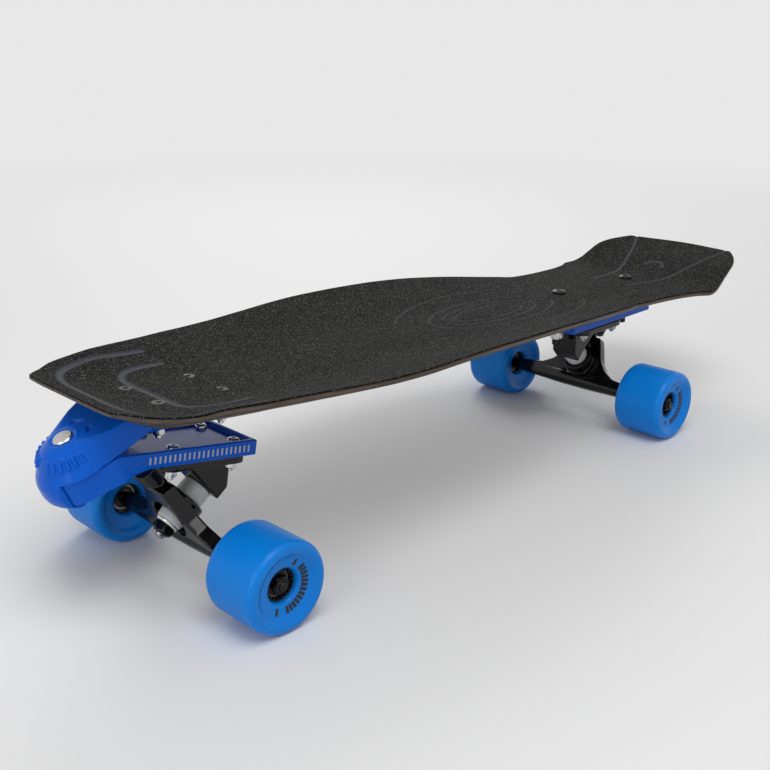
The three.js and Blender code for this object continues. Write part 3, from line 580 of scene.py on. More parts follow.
def deck_row(place):
    """Width, rise and lift at a place along the deck."""
    x = DECK_ROWS[:, 0]
    i = int(np.clip(np.searchsorted(x, place) - 1, 0, len(x) - 2))
    step = x[i + 1] - x[i]
    t = (place - x[i]) / step
    values = []
    for k, slopes in zip((1, 2, 3), SLOPES):
        a, b = DECK_ROWS[i, k], DECK_ROWS[i + 1, k]
        values.append((1 + 2 * t) * (1 - t) ** 2 * a + t * (1 - t) ** 2 * step * slopes[i]
                      + t * t * (3 - 2 * t) * b + t * t * (t - 1) * step * slopes[i + 1])
    return values


DECK_BASE = RISER_TOP - NOSE_RISE * deck_row((PATTERN_X - TAIL_X) / DECK_SPAN)[1]


def deck_point(place, row, y, level):
    """A point at a place along the deck and a distance across it, a level above its underside."""
    width, rise, lift = row
    half = DECK_WIDTH / 2 * width
    bulge = TAIL_BULGE * max(0.0, 1 - place / BULGE_END) * (1 - (y / half) ** 2)
    out = max(0.0, abs(y) - DECK_FLAT) / (half - DECK_FLAT)
    height = DECK_BASE + NOSE_RISE * rise + RAIL_LIFT * lift * out ** RAIL_POWER + level
    return (TAIL_X + DECK_SPAN * place - bulge, y, height)


def stations(close_up, far_apart, busy):
    """Places along the deck, close together in the busy stretches."""
    places = [0.0]
    while places[-1] < NOSE_END:
        step = close_up if any(a <= places[-1] <= b for a, b in busy) else far_apart
        places.append(min(NOSE_END, places[-1] + step / DECK_SPAN))
    return places


print("deck from", round(TAIL_X, 1), "to", round(TAIL_X + DECK_SPAN, 1), "base", round(DECK_BASE, 2))

# %% [markdown]
# ## The pressed deck
# Seven plies make one board ten millimetres thick. Its underside is chamfered towards the rim, as on a
# surfboard's rail, so the edge that shows is thin, and thinnest at the nose's cut end. One closed ring of
# points per station, joined to the next, gives the whole board.

# %% The pressed deck
DECK_EDGE, DECK_INSET, RIM_THICKNESS, CHAMFER_WIDTH = 1.6, 0.15, 3.8, 40.0
NOSE_RIM, NOSE_RIM_LENGTH = 2.2, 50.0


def rim_thickness(place):
    """The edge's thickness, less at the nose's cut end."""
    return float(np.interp((NOSE_END - place) * DECK_SPAN, [0, NOSE_RIM_LENGTH], [NOSE_RIM, RIM_THICKNESS]))


def rim_lift(place, half, y):
    """How far the chamfer lifts the underside at a point."""
    inward = min(half - abs(y), (NOSE_END - place) * DECK_SPAN, place * DECK_SPAN)
    return (DECK_THICKNESS - rim_thickness(place)) * max(0.0, 1 - inward / CHAMFER_WIDTH)


def edge_arc(half, low, high, radius, side):
    """The rounded edge of a sheet from its top to its underside, as (across, level) pairs."""
    steps = [math.pi / 2 - k * math.pi / 8 for k in range(5)]
    top = [(half - radius + radius * math.cos(a), high - radius + radius * math.sin(a)) for a in steps]
    under = [(y, low + high - level) for y, level in reversed(top)]
    arc = top + under
    return [(side * y, level) for y, level in (arc if side > 0 else reversed(arc))]


def end_cap(first, top, left, under):
    """Faces that close the end of a sheet: strips between the top and the underside, and its two edges."""
    ratio = (top - 1) // (under - 1)
    start = top + left
    faces = [tuple(range(first + top - 1, first + start + 1)),
             (*range(first + start + under - 1, first + start + under + left), first)]
    for k in range(under - 1):
        upper = [first + top - 1 - k * ratio - j for j in range(ratio + 1)]
        faces.append((*reversed(upper), first + start + k, first + start + k + 1))
    return [face for face in faces if len(face) > 2]


DECK_ACROSS = 30


def deck_loop(place, radius, inset):
    """One closed ring round the deck at a place."""
    row = deck_row(place)
    half = DECK_WIDTH / 2 * row[0] - inset
    rim = DECK_THICKNESS - rim_thickness(place)
    radius = min(radius, 0.46 * rim_thickness(place))
    flat = half - radius
    left = edge_arc(half, rim, DECK_THICKNESS, radius, 1)
    right = edge_arc(half, rim, DECK_THICKNESS, radius, -1)
    spread = [flat * math.sin(math.pi / 2 * (2 * k / DECK_ACROSS - 1)) for k in range(DECK_ACROSS + 1)]
    under = [(y, rim_lift(place, half, y)) for y in reversed(spread)]
    loop = [(y, DECK_THICKNESS) for y in spread] + left[1:-1] + under + right[1:-1]
    return [deck_point(place, row, y, level) for y, level in loop], [level for _, level in loop], len(left) - 2


def build_deck():
    """Joins the rings into a closed board, with a UV map of the height through the plies."""
    places = stations(3.0, 6.0, [(0.93, 1.0), (0.0, 0.12)])
    points, faces, heights = [], [], []
    for place in places:
        loop, levels, corner = deck_loop(place, DECK_EDGE, DECK_INSET)
        points += loop
        heights += [level / DECK_THICKNESS for level in levels]
    size = len(loop)
    for i in range(len(places) - 1):
        for j in range(size):
            k = (j + 1) % size
            faces.append((i * size + j, i * size + k, (i + 1) * size + k, (i + 1) * size + j))
    for first in (0, (len(places) - 1) * size):
        faces += end_cap(first, DECK_ACROSS + 1, corner, DECK_ACROSS + 1)
    mesh = mesh_from("pressed_deck", points, faces, plywood)
    layer = mesh.uv_layers.new(name="along_and_through")
    for loop in mesh.loops:
        layer.data[loop.index].uv = (mesh.vertices[loop.vertex_index].co.x, heights[loop.vertex_index])
    print("deck points", len(points))
    return mesh


finished("pressed_deck", build_deck(), "board", "ply", "deck", crease=50)

# %% [markdown]
# ## Carved lines in the grip
# The top of the board has carved lines, and the grip follows them.
# The lines here are a plain design of nested bends, ovals and rays, drawn as curves on the plan of the deck.
# Each point of the grip asks how near the nearest line is, and sinks with a smooth, round profile.

# %% Carved lines
def bend(apex, length, half, depth, dent):
    """A broad bend round the nose with nearly square corners, and two straight legs that run back."""
    turn = [math.radians(a) for a in range(-90, 91, 5)]
    front = [(apex - depth * (1 - math.cos(a) ** 0.8) - dent * math.cos(a) ** 4,
              half * math.copysign(abs(math.sin(a)) ** 0.62, a)) for a in turn]
    return np.array([(apex - length, -half), *front, (apex - length, half)])


def oval(x, y, along, across, start=0.0, end=360.0, turn=0.0):
    """An oval or a part of one, turned a little on the deck."""
    a = np.radians(np.linspace(start, end, 200))
    u, v = along * np.cos(a), across * np.sin(a)
    c, s = math.cos(math.radians(turn)), math.sin(math.radians(turn))
    return np.column_stack([x + u * c - v * s, y + u * s + v * c])


def ray(start, bow, end):
    """A line that bows to one side."""
    t = np.linspace(0, 1, 160)[:, None]
    a, b, c = np.array(start), np.array(bow), np.array(end)
    return (1 - t) ** 2 * a + 2 * t * (1 - t) * b + t * t * c


NOSE_LINES = [bend(378, 94, 79, 64, 3), bend(336, 54, 55, 42, 8)]
MIDDLE_LINES = [oval(-52, 0, 46, 17), oval(-54, 0, 62, 26, 20, 340), oval(-58, 0, 82, 37, 196, 524),
                oval(-60, 0, 122, 62, 28, 152), oval(-60, 0, 122, 62, 208, 332)]
TAIL_LINES = [ray((-262, -22), (-340, -26), (-408, -58)), ray((-262, 22), (-340, 26), (-408, 58)),
              ray((-352, -12), (-372, 0), (-352, 12))]
LINE_HALF = {"nose": 4.4, "middle": 2.3, "tail": 3.0}
# How strongly each kind of line is pressed smooth and painted paler as a sheen: nose lines most, middle ones least.
LINE_SMOOTH_AND_SHEEN = {"nose": 1.0, "middle": 0.5, "tail": 0.8}
LINE_DEPTH = {"nose": 1.1, "middle": 0.8, "tail": 0.8}
LINE_SAMPLING = 0.6


def line_finder(lines):
    """A search tree over closely spaced points of the lines."""
    samples = []
    for line in lines:
        steps = np.linalg.norm(np.diff(line, axis=0), axis=1)
        travel = np.concatenate([[0], np.cumsum(steps)])
        even = np.arange(0, travel[-1], LINE_SAMPLING)
        samples.append(np.column_stack([np.interp(even, travel, line[:, k]) for k in (0, 1)]))
    samples = np.concatenate(samples)
    finder = KDTree(len(samples))
    for index, (x, y) in enumerate(samples):
        finder.insert((x, y, 0), index)
    finder.balance()
    return finder


LINES = {"nose": NOSE_LINES, "middle": MIDDLE_LINES, "tail": TAIL_LINES}
FINDERS = {name: line_finder(lines) for name, lines in LINES.items()}
print("carved lines", {name: len(lines) for name, lines in LINES.items()})


def carved_at(x, y):
    """How deep the carving is at a point of the plan, and how strongly its smooth finish and painted sheen show
    there.
    """
    depth = share = 0.0
    for name, finder in FINDERS.items():
        distance = finder.find((x, y, 0))[2]
        if distance < LINE_HALF[name]:
            here = 0.5 + 0.5 * math.cos(math.pi * distance / LINE_HALF[name])
            depth = max(depth, LINE_DEPTH[name] * here)
            share = max(share, LINE_SMOOTH_AND_SHEEN[name] * min(1.0, here * 1.6))
    return depth, share


# %% [markdown]
# ## The grip sheet
# The grip is one sheet over the whole top, cut a hair inside the deck's edge.
# Its top is a fine grid, close enough for the carved lines, and its underside is a coarse one that nobody
# sees.

# %% The grip sheet
GRIP_LOW, GRIP_TOP, GRIP_INSET = DECK_THICKNESS + 0.05, DECK_THICKNESS + 1.3, 0.7
GRIP_ACROSS, GRIP_UNDER = 168, 24


def build_grip():
    """The grip as a closed sheet, with the attribute that marks the carved lines and their painted sheen."""
    places = stations(1.25, 5.0, [(0.8, 0.985), (0.27, 0.59), (0.0, 0.215)])
    points, carved, faces = [], [], []
    for place in places:
        row = deck_row(place)
        half = DECK_WIDTH / 2 * row[0] - GRIP_INSET
        for k in range(GRIP_ACROSS + 1):
            x, y, z = deck_point(place, row, half * (2 * k / GRIP_ACROSS - 1), GRIP_TOP)
            depth, share = carved_at(x, y)
            points.append((x, y, z - depth))
            carved.append(share)
        for k in range(GRIP_UNDER + 1):
            points.append(deck_point(place, row, half * (1 - 2 * k / GRIP_UNDER), GRIP_LOW))
            carved.append(0.0)
    size = GRIP_ACROSS + GRIP_UNDER + 2
    for i in range(len(places) - 1):
        for j in range(size):
            k = (j + 1) % size
            faces.append((i * size + j, i * size + k, (i + 1) * size + k, (i + 1) * size + j))
    for first in (0, (len(places) - 1) * size):
        faces += end_cap(first, GRIP_ACROSS + 1, 0, GRIP_UNDER + 1)
    mesh = mesh_from("grip_sheet", points, faces, grip)
    mask = mesh.attributes.new("carved", "FLOAT", "POINT")
    mask.data.foreach_set("value", np.array(carved, dtype=np.float32))
    print("grip faces", len(faces))
    return mesh


finished("grip_sheet", build_grip(), "board", "grip", "grip_tape", crease=50)

# %% [markdown]
# ## Castings
# The adapter, the hangers and the baseplates are cast, so every edge is round and thickly painted.
# A copy of the CAD solid is turned into an even skin of small faces, and smoothing then rounds its edges.
# Forms that a casting also has, such as ribs and bosses, are joined on first, and pockets are cut from the
# skin.

# %% Castings
def joined(name, *meshes):
    """One mesh from several, with their material slots kept."""
    shape = bmesh.new()
    slots = []
    for mesh in meshes:
        start = len(shape.faces)
        shape.from_mesh(mesh)
        shape.faces.ensure_lookup_table()
        for face in shape.faces[start:]:
            material = mesh.materials[face.material_index] if mesh.materials else None
            if material not in slots:
                slots.append(material)
            face.material_index = slots.index(material)
    out = bpy.data.meshes.new(name)
    shape.to_mesh(out)
    shape.free()
    for material in slots:
        if material:
            out.materials.append(material)
    return out


def as_object(mesh):
    """A helper object for a mesh, so that modifiers can work on it."""
    thing = bpy.data.objects.new(mesh.name, mesh)
    scene.collection.objects.link(thing)
    return thing


def merged_copy(node):
    """A copy of a CAD node's mesh with its loose triangles joined."""
    mesh = frame["nodes"][node].data.copy()
    mesh.materials.clear()
    shape = bmesh.new()
    shape.from_mesh(mesh)
    bmesh.ops.remove_doubles(shape, verts=shape.verts, dist=1e-6)
    shape.to_mesh(mesh)
    shape.free()
    return mesh


def evaluated(thing):
    """The mesh that an object's modifiers make, with the helper object removed."""
    graph = bpy.context.evaluated_depsgraph_get()
    ready = thing.evaluated_get(graph)
    mesh = bpy.data.meshes.new_from_object(ready, preserve_all_data_layers=True, depsgraph=graph)
    bpy.data.objects.remove(thing)
    return mesh


def cast_from(node, name, material, axes, voxel=0.8, passes=8, added=(), cut=(), clearing=()):
    """An even, round-edged skin over a CAD node, made in axes that its main edges follow.

    The clearing meshes are cut from the solid one by one, the added ones are joined to what is left,
    and the cut ones are taken from the finished skin before it is smoothed.
    """
    body = merged_copy(node)
    body.transform(axes.inverted())
    for room in clearing:
        helper = as_object(room)
        thing = as_object(body)
        taken = thing.modifiers.new("room", "BOOLEAN")
        taken.operation = "DIFFERENCE"
        taken.object = helper
        body = evaluated(thing)
        bpy.data.objects.remove(helper)
    thing = as_object(joined(name, body, *added))
    skin = thing.modifiers.new("even_skin", "REMESH")
    skin.mode = "VOXEL"
    skin.voxel_size = voxel * MM
    helpers = []
    for cutter in cut:
        helpers.append(as_object(cutter))
        taken = thing.modifiers.new("pocket", "BOOLEAN")
        taken.operation = "DIFFERENCE"
        taken.object = helpers[-1]
    soften = thing.modifiers.new("round_edges", "SMOOTH")
    soften.factor = 0.5
    soften.iterations = passes
    mesh = evaluated(thing)
    for helper in helpers:
        bpy.data.objects.remove(helper)
    mesh.transform(axes)
    mesh.name = name
    mesh.materials.clear()
    mesh.materials.append(material)
    print(name, "faces", len(mesh.polygons))
    return mesh


# %% [markdown]
# ## Geometry Nodes for what repeats
# Bolts stand in fours, ribs stand in rings and marks stand in rows.
# Three small trees place copies of the mesh that they get: on the corners of a rectangle, on a ring, and on
# a line. Each ends by making the copies real and giving them a material, so the result can be kept as a
# plain mesh.

# %% Geometry Nodes trees
def new_tree(name, sockets):
    """An empty tree with a geometry input and output and the named sizes."""
    tree = bpy.data.node_groups.new(name, "GeometryNodeTree")
    tree.interface.new_socket(name="Geometry", in_out="INPUT", socket_type="NodeSocketGeometry")
    for label, kind in sockets.items():
        tree.interface.new_socket(name=label, in_out="INPUT", socket_type=kind)
    tree.interface.new_socket(name="Geometry", in_out="OUTPUT", socket_type="NodeSocketGeometry")
    return tree, tree.nodes.new("NodeGroupInput"), tree.nodes.new("NodeGroupOutput")


def end_tree(tree, given, made, placed_copies):
    """Makes the copies real, sets their material, and a second one where the mesh is marked as a head."""
    real = tree.nodes.new("GeometryNodeRealizeInstances")
    first = tree.nodes.new("GeometryNodeSetMaterial")
    second = tree.nodes.new("GeometryNodeSetMaterial")
    marked = tree.nodes.new("GeometryNodeInputNamedAttribute")
    marked.data_type = "BOOLEAN"
    marked.inputs["Name"].default_value = "head"
    tree.links.new(placed_copies.outputs["Instances"], real.inputs["Geometry"])
    tree.links.new(real.outputs["Geometry"], first.inputs["Geometry"])
    tree.links.new(given.outputs["Material"], first.inputs["Material"])
    tree.links.new(first.outputs["Geometry"], second.inputs["Geometry"])
    tree.links.new(marked.outputs["Attribute"], second.inputs["Selection"])
    tree.links.new(given.outputs["Head Material"], second.inputs["Material"])
    tree.links.new(second.outputs["Geometry"], made.inputs["Geometry"])
    return tree


MATERIALS = {"Material": "NodeSocketMaterial", "Head Material": "NodeSocketMaterial"}
NUMBER, COUNT, DIRECTION = "NodeSocketFloat", "NodeSocketInt", "NodeSocketVector"


def corners_tree():
    """Copies on the four corners of a rectangle."""
    tree, given, made = new_tree("on_four_corners", {"Along": NUMBER, "Across": NUMBER, **MATERIALS})
    grid = tree.nodes.new("GeometryNodeMeshGrid")
    grid.inputs["Vertices X"].default_value = 2
    grid.inputs["Vertices Y"].default_value = 2
    copies = tree.nodes.new("GeometryNodeInstanceOnPoints")
    tree.links.new(given.outputs["Along"], grid.inputs["Size X"])
    tree.links.new(given.outputs["Across"], grid.inputs["Size Y"])
    tree.links.new(grid.outputs["Mesh"], copies.inputs["Points"])
    tree.links.new(given.outputs["Geometry"], copies.inputs["Instance"])
    return end_tree(tree, given, made, copies)


def ring_tree():
    """Copies turned about Z, from a first angle in equal steps."""
    tree, given, made = new_tree("on_a_ring", {"Count": COUNT, "Start": NUMBER, "Step": NUMBER, **MATERIALS})
    spots = tree.nodes.new("GeometryNodeMeshLine")
    spots.inputs["Offset"].default_value = (0, 0, 0)
    index = tree.nodes.new("GeometryNodeInputIndex")
    angle = tree.nodes.new("ShaderNodeMath")
    angle.operation = "MULTIPLY_ADD"
    turn = tree.nodes.new("ShaderNodeCombineXYZ")
    copies = tree.nodes.new("GeometryNodeInstanceOnPoints")
    tree.links.new(given.outputs["Count"], spots.inputs["Count"])
    tree.links.new(index.outputs["Index"], angle.inputs[0])
    tree.links.new(given.outputs["Step"], angle.inputs[1])
    tree.links.new(given.outputs["Start"], angle.inputs[2])
    tree.links.new(angle.outputs["Value"], turn.inputs["Z"])
    tree.links.new(spots.outputs["Mesh"], copies.inputs["Points"])
    tree.links.new(given.outputs["Geometry"], copies.inputs["Instance"])
    tree.links.new(turn.outputs["Vector"], copies.inputs["Rotation"])
    return end_tree(tree, given, made, copies)


def row_tree():
    """Copies in a straight row."""
    tree, given, made = new_tree("in_a_row", {"Count": COUNT, "Step": DIRECTION, **MATERIALS})
    spots = tree.nodes.new("GeometryNodeMeshLine")
    copies = tree.nodes.new("GeometryNodeInstanceOnPoints")
    tree.links.new(given.outputs["Count"], spots.inputs["Count"])
    tree.links.new(given.outputs["Step"], spots.inputs["Offset"])
    tree.links.new(spots.outputs["Mesh"], copies.inputs["Points"])
    tree.links.new(given.outputs["Geometry"], copies.inputs["Instance"])
    return end_tree(tree, given, made, copies)


ON_CORNERS, ON_A_RING, IN_A_ROW = corners_tree(), ring_tree(), row_tree()


def repeated(mesh, tree, material, head_material=None, **values):
    """Runs a tree on a mesh and returns the plain result."""
    thing = as_object(mesh)
    growth = thing.modifiers.new(tree.name, "NODES")
    growth.node_group = tree
    given = {name.replace("_", " "): value for name, value in values.items()}
    given["Material"] = material
    given["Head Material"] = head_material or material
    for socket in tree.interface.items_tree:
        if socket.in_out == "INPUT" and socket.name in given:
            growth[socket.identifier] = given[socket.name]
    return evaluated(thing)


# %% [markdown]
# ## Bolts and nuts
# The nuts are self-locking: a hexagon with cut corners under a round collar that holds a nylon ring.
# A bolt is a turned body. Its head is marked, because the heads on the deck are blackened and the nuts are
# not.

# %% Bolts and nuts
def nut_profile(bore, radius, low, high, collar=0.22):
    """A lock nut's profile, with its collar at the low end."""
    depth = high - low
    cut = radius * 0.1
    neck = low + depth * collar
    return [(bore, low), (radius * 0.6, low), (radius * 0.74, low + cut), (radius * 0.76, neck),
            (radius, neck, 0.9), (radius, neck + cut * 0.7, 1.0), (radius, high - cut * 0.7, 1.0),
            (radius, high, 0.9), (bore, high)]


def mark_heads(mesh, level):
    """Marks the faces above a level as a bolt's head."""
    mark = mesh.attributes.new("head", "BOOLEAN", "FACE")
    for face in mesh.polygons:
        mark.data[face.index].value = face.center.z > level * MM
    return mesh


def socket_head(radius, base, height, socket, depth):
    """Rows of a domed head with a hexagon socket, from its rim to the middle."""
    top = base + height
    return [(radius, base), (radius, base + height * 0.45), (radius * 0.86, base + height * 0.82),
            (radius * 0.62, top), (socket * 1.12, top), (socket, top - 0.2, 1.0), (socket, top - depth, 1.0),
            (0, top - depth)]


BOLT_RADIUS, BOLT_HEAD, BOLT_HEAD_HEIGHT = 2.4, 5.0, 3.0
BOLT_NUT, BOLT_NUT_LENGTH, BOLT_TAIL = 4.7, 5.0, 2.0


def truck_bolt(grip_length, sunk):
    """A truck bolt with its nut, its head's top or its foot at zero."""
    tail = -grip_length - BOLT_NUT_LENGTH - BOLT_TAIL
    shank = [(0, tail), (BOLT_RADIUS * 0.8, tail), (BOLT_RADIUS, tail + 0.5)]
    if sunk:
        head = [(BOLT_RADIUS, -BOLT_HEAD_HEIGHT), (BOLT_HEAD, -0.25), (BOLT_HEAD, 0), (2.1, 0),
                (1.6, -0.3, 1.0), (1.6, -1.6, 1.0), (0, -1.6)]
    else:
        head = [(BOLT_RADIUS, 0.3), *socket_head(BOLT_HEAD, 0.3, BOLT_HEAD_HEIGHT, 1.7, 1.6)]
    bolt = turned("bolt", shank + head, around=36)
    profile = nut_profile(BOLT_RADIUS, BOLT_NUT, -grip_length - BOLT_NUT_LENGTH, -grip_length)
    nut = turned("nut", profile, around=48, closed=True)
    return mark_heads(joined("truck_bolt", bolt, nut), -BOLT_HEAD_HEIGHT - 0.5 if sunk else 0.1)


# %% [markdown]
# ## The four bolts of each pattern
# The same pattern of four is used at the adapter body, on the arm and under the riser.
# Each set is made flat, on the corners of a rectangle, and then laid on the slope that it belongs to.

# %% Bolt sets
PATTERN_ALONG, PATTERN_ACROSS = 54.0, 41.3
DECK_PATTERN_X = FRONT_AXLE.x + 1.6
TRUCK_PATTERN_OUT = 5.6
SEAT, TRUCK_HEIGHT, FLANGE_THICKNESS, ARM_RIM, ARM_POCKET = 0.25, 66.0, 6.5, 12.0, 3.5
PLATE_HOLD = 8.0
RISER_NUT_LEVEL = 94.5


def four_names(stem):
    """The names of a pattern's four CAD nodes."""
    return [f"{stem}_{k}" for k in (1, 2, 3, 4)]


def straight_row_height(x):
    """Height of the underside on the centre line, straight between the rows as in the CAD deck."""
    return DECK_BASE + NOSE_RISE * float(np.interp((x - TAIL_X) / DECK_SPAN, DECK_ROWS[:, 0], DECK_ROWS[:, 2]))


back_height = straight_row_height(DECK_PATTERN_X - PATTERN_ALONG / 2)
front_height = straight_row_height(DECK_PATTERN_X + PATTERN_ALONG / 2)
slope = math.atan2(front_height - back_height, PATTERN_ALONG)
deck_set = place_frame((DECK_PATTERN_X, 0, (back_height + front_height) / 2 + GRIP_TOP), *leaning(slope))
mesh = repeated(truck_bolt(GRIP_TOP + PLATE_HOLD, True), ON_CORNERS, bright_steel, soft_black,
                Along=PATTERN_ALONG / math.cos(slope) * MM, Across=PATTERN_ACROSS * MM)
finished("deck_bolts", placed(mesh, deck_set), "board", "chrome", *four_names("deck_screw"))

FLANGE_LOW = TRUCK_HEIGHT - FLANGE_THICKNESS
ARM_FLOOR = TRUCK_HEIGHT + SEAT + ARM_RIM - ARM_POCKET
mesh = repeated(truck_bolt(ARM_FLOOR - FLANGE_LOW + SEAT, False), ON_CORNERS, bright_steel, bright_steel,
                Along=PATTERN_ALONG * MM, Across=PATTERN_ACROSS * MM)
arm_set = TRUCKS["front"] @ Matrix.Translation(Vector((TRUCK_PATTERN_OUT, 0, ARM_FLOOR)) * MM)
finished("arm_bolts", placed(mesh, arm_set), "arm", "chrome", *four_names("arm_screw"))

riser_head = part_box("riser_screw_1")[1].z / MM
riser_head = min(riser_head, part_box("riser_screw_4")[1].z / MM)
mesh = repeated(truck_bolt(riser_head - RISER_NUT_LEVEL + SEAT, True), ON_CORNERS, plain_steel,
                Along=PATTERN_ALONG * MM, Across=PATTERN_ACROSS * MM)
riser_set = place_frame((PATTERN_X, 0, riser_head), (1, 0, 0), (0, 0, 1))
finished("riser_block_bolts", placed(mesh, riser_set), "board", "steel", *four_names("riser_screw"))

# %% [markdown]
# ## The two large riser bolts
# Two thick bolts with low domed heads go through the deck and the riser block, and show on the tail half of
# the deck.

# %% Riser bolts
RISER_HEAD, RISER_HEAD_HEIGHT, RISER_NUT_LENGTH = 7, 3.0, 9.0
RISER_WASHER_TOP, RISER_WASHER_THICKNESS = 101.0, 2.8


def riser_bolt(node, name):
    """A large bolt between the highest and lowest point of its CAD solid, with its washer and nut."""
    low, high = (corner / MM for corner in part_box(node))
    head = high.z - RISER_HEAD_HEIGHT
    washer = RISER_WASHER_TOP
    nut = washer - RISER_WASHER_THICKNESS
    profile = [(0, low.z), (3.4, low.z), (4, low.z + 0.6), (4, head),
               *socket_head(RISER_HEAD, head, RISER_HEAD_HEIGHT, 2.9, 2.0)]
    bolt = turned("bolt", profile, black_steel, around=64)
    profile = rounded([(4.1, nut), (8, nut), (8, washer), (4.1, washer)], 0.5, closed=True)
    flat = turned("washer", profile, bright_steel, around=64, closed=True)
    lock = turned("nut", nut_profile(4, 7.5, nut - RISER_NUT_LENGTH, nut), bright_steel, around=72, closed=True)
    mesh = joined(name, bolt, flat, lock)
    centre = box_centre(node)
    finished(name, placed(mesh, place_frame((centre.x, 0, 0), (1, 0, 0), (0, 0, 1))), "board", "chrome", node)


riser_bolt("riser_bolt_front", "large_bolt_front")
riser_bolt("riser_bolt_rear", "large_bolt_rear")

# %% [markdown]
# ## Riser block
# The riser is a plain block with a softened edge and a gloss coat.
# A bevel would also do, but the even skin gives it the same edges as the other blue pieces.

# %% Riser block
mesh = cast_from("riser_block", "riser_casting", blue_casting, Matrix.Identity(4), voxel=1.0, passes=5)
finished("riser_casting", mesh, "board", "blue_paint", "riser_block", crease=60)

# %% [markdown]
# ## Adapter body
# The body is bolted under the nose. Its round head has a raised boss round the pivot bolt and two pockets
# behind it. A row of low ribs is raised on each side of the head, and a lip hangs down in front of the
# arm's hub. The front of the CAD solid is cleared away, and a hull round a few rings of points takes its
# place, because a hull joins the cone to the flat cheeks without a step.

# %% Blocks and hulls
def block(name, size, centre, turn=0.0, tilt=0.0):
    """A block with its middle at a point, turned about Z and tilted about its own X."""
    signs = [(sx, sy, sz) for sx in (-1, 1) for sy in (-1, 1) for sz in (-1, 1)]
    corners = [[sign * length / 2 for sign, length in zip(row, size)] for row in signs]
    faces = [(0, 1, 3, 2), (4, 6, 7, 5), (0, 4, 5, 1), (2, 3, 7, 6), (0, 2, 6, 4), (1, 5, 7, 3)]
    mesh = mesh_from(name, corners, faces)
    turned_about = Matrix.Rotation(turn, 4, "Z") @ Matrix.Rotation(tilt, 4, "X")
    mesh.transform(Matrix.Translation(Vector(centre) * MM) @ turned_about)
    return mesh


def hull(name, points):
    """The convex body round a set of points."""
    shape = bmesh.new()
    for point in points:
        shape.verts.new(Vector(point) * MM)
    bmesh.ops.convex_hull(shape, input=shape.verts)
    loose = [v for v in shape.verts if not v.link_faces]
    bmesh.ops.delete(shape, geom=loose, context="VERTS")
    bmesh.ops.recalc_face_normals(shape, faces=shape.faces)
    mesh = bpy.data.meshes.new(name)
    shape.to_mesh(mesh)
    shape.free()
    return mesh


# %% Neck and cone
HEAD_TOP, BODY_HALF, SEAM_BACK, CROWN_BACK, CROWN_END = 18.5, 31.0, -66.0, -22.0, -33.0
CROWN_HALF, CROWN_END_HALF, SHOULDER_HALF, SHOULDER_HEIGHT = 26.6, 29.6, 30.4, 12.6
CONE = [(28.6, 0), (26.75, 2.4), (25.5, 4.4), (24.25, 6.4), (23, 8.4), (21.75, 10.4), (20.4, 12.4),
        (19, 14.2), (16.8, 16.2), (14, 17.9), (12.4, HEAD_TOP)]
front = [math.radians(a) for a in range(-88, 89, 4)]
neck = [(r * math.cos(a), r * math.sin(a), h) for r, h in CONE for a in front]
for side in (-1, 1):
    neck += [(0, side * CROWN_END_HALF, 0), (CROWN_BACK, side * CROWN_HALF, HEAD_TOP),
             (CROWN_END, side * CROWN_END_HALF, HEAD_TOP), (SEAM_BACK, side * BODY_HALF, 0),
             (CROWN_END - 8, side * SHOULDER_HALF, SHOULDER_HEIGHT), (CROWN_BACK, side * BODY_HALF, 0),
             (CROWN_END, side * BODY_HALF, 6)]
neck_form = hull("neck", neck)
print("neck faces", len(neck_form.polygons))

# %% Lip
LIP = [(20, -25), (23.2, -24.4), (27.2, -20.6), (29.8, -16.4), (30.6, -12), (30.5, -8), (30.2, -4),
       (28.6, -0.4), (28, 1), (26.8, 0.6), (26.6, -1), (26.6, -20.6), (20, -20.6)]
LIP_WIDTH = 31
lip_form = turned("lip", LIP, around=96, closed=True)
lip_thing = as_object(lip_form)
slab = as_object(block("slab", (60, LIP_WIDTH, 60), (30, 0, -10)))
meet = lip_thing.modifiers.new("middle_only", "BOOLEAN")
meet.operation = "INTERSECT"
meet.object = slab
lip_form = evaluated(lip_thing)
bpy.data.objects.remove(slab)
print("lip faces", len(lip_form.polygons))

# %% Boss, ribs and pockets
BOSS = [(0, HEAD_TOP - 3), (11.8, HEAD_TOP - 3), (11.4, HEAD_TOP + 0.7), (9.4, HEAD_TOP + 0.9),
        (8.6, HEAD_TOP + 0.1), (0, HEAD_TOP + 0.1)]
RIB_SIZE, RIB_PLACE, RIB_TILT = (7.6, 2.4, 3.4), (21.5, 0, 11.3), math.radians(56)
RIB_COUNT, RIB_STEP, LEFT_RIBS, RIGHT_RIBS = 6, math.radians(13), math.radians(18), math.radians(-83)
POCKETS = [(-16.6, -7.4, 10, 0.5), (-15.6, 9.4, 8, -0.5)]
boss = turned("boss", BOSS, around=64)
rib = block("rib", RIB_SIZE, (0, 0, 0))
rib.transform(Matrix.Translation(Vector(RIB_PLACE) * MM) @ Matrix.Rotation(RIB_TILT, 4, "Y"))
ribs = [repeated(rib.copy(), ON_A_RING, blue_casting, Count=RIB_COUNT, Start=LEFT_RIBS, Step=RIB_STEP),
        repeated(rib, ON_A_RING, blue_casting, Count=RIB_COUNT, Start=RIGHT_RIBS, Step=RIB_STEP)]
pockets = [block("pocket", (4.2, length, 9), (x, y, HEAD_TOP), turn) for x, y, length, turn in POCKETS]
print("ribs", RIB_COUNT * len(ribs), "pockets", len(pockets))

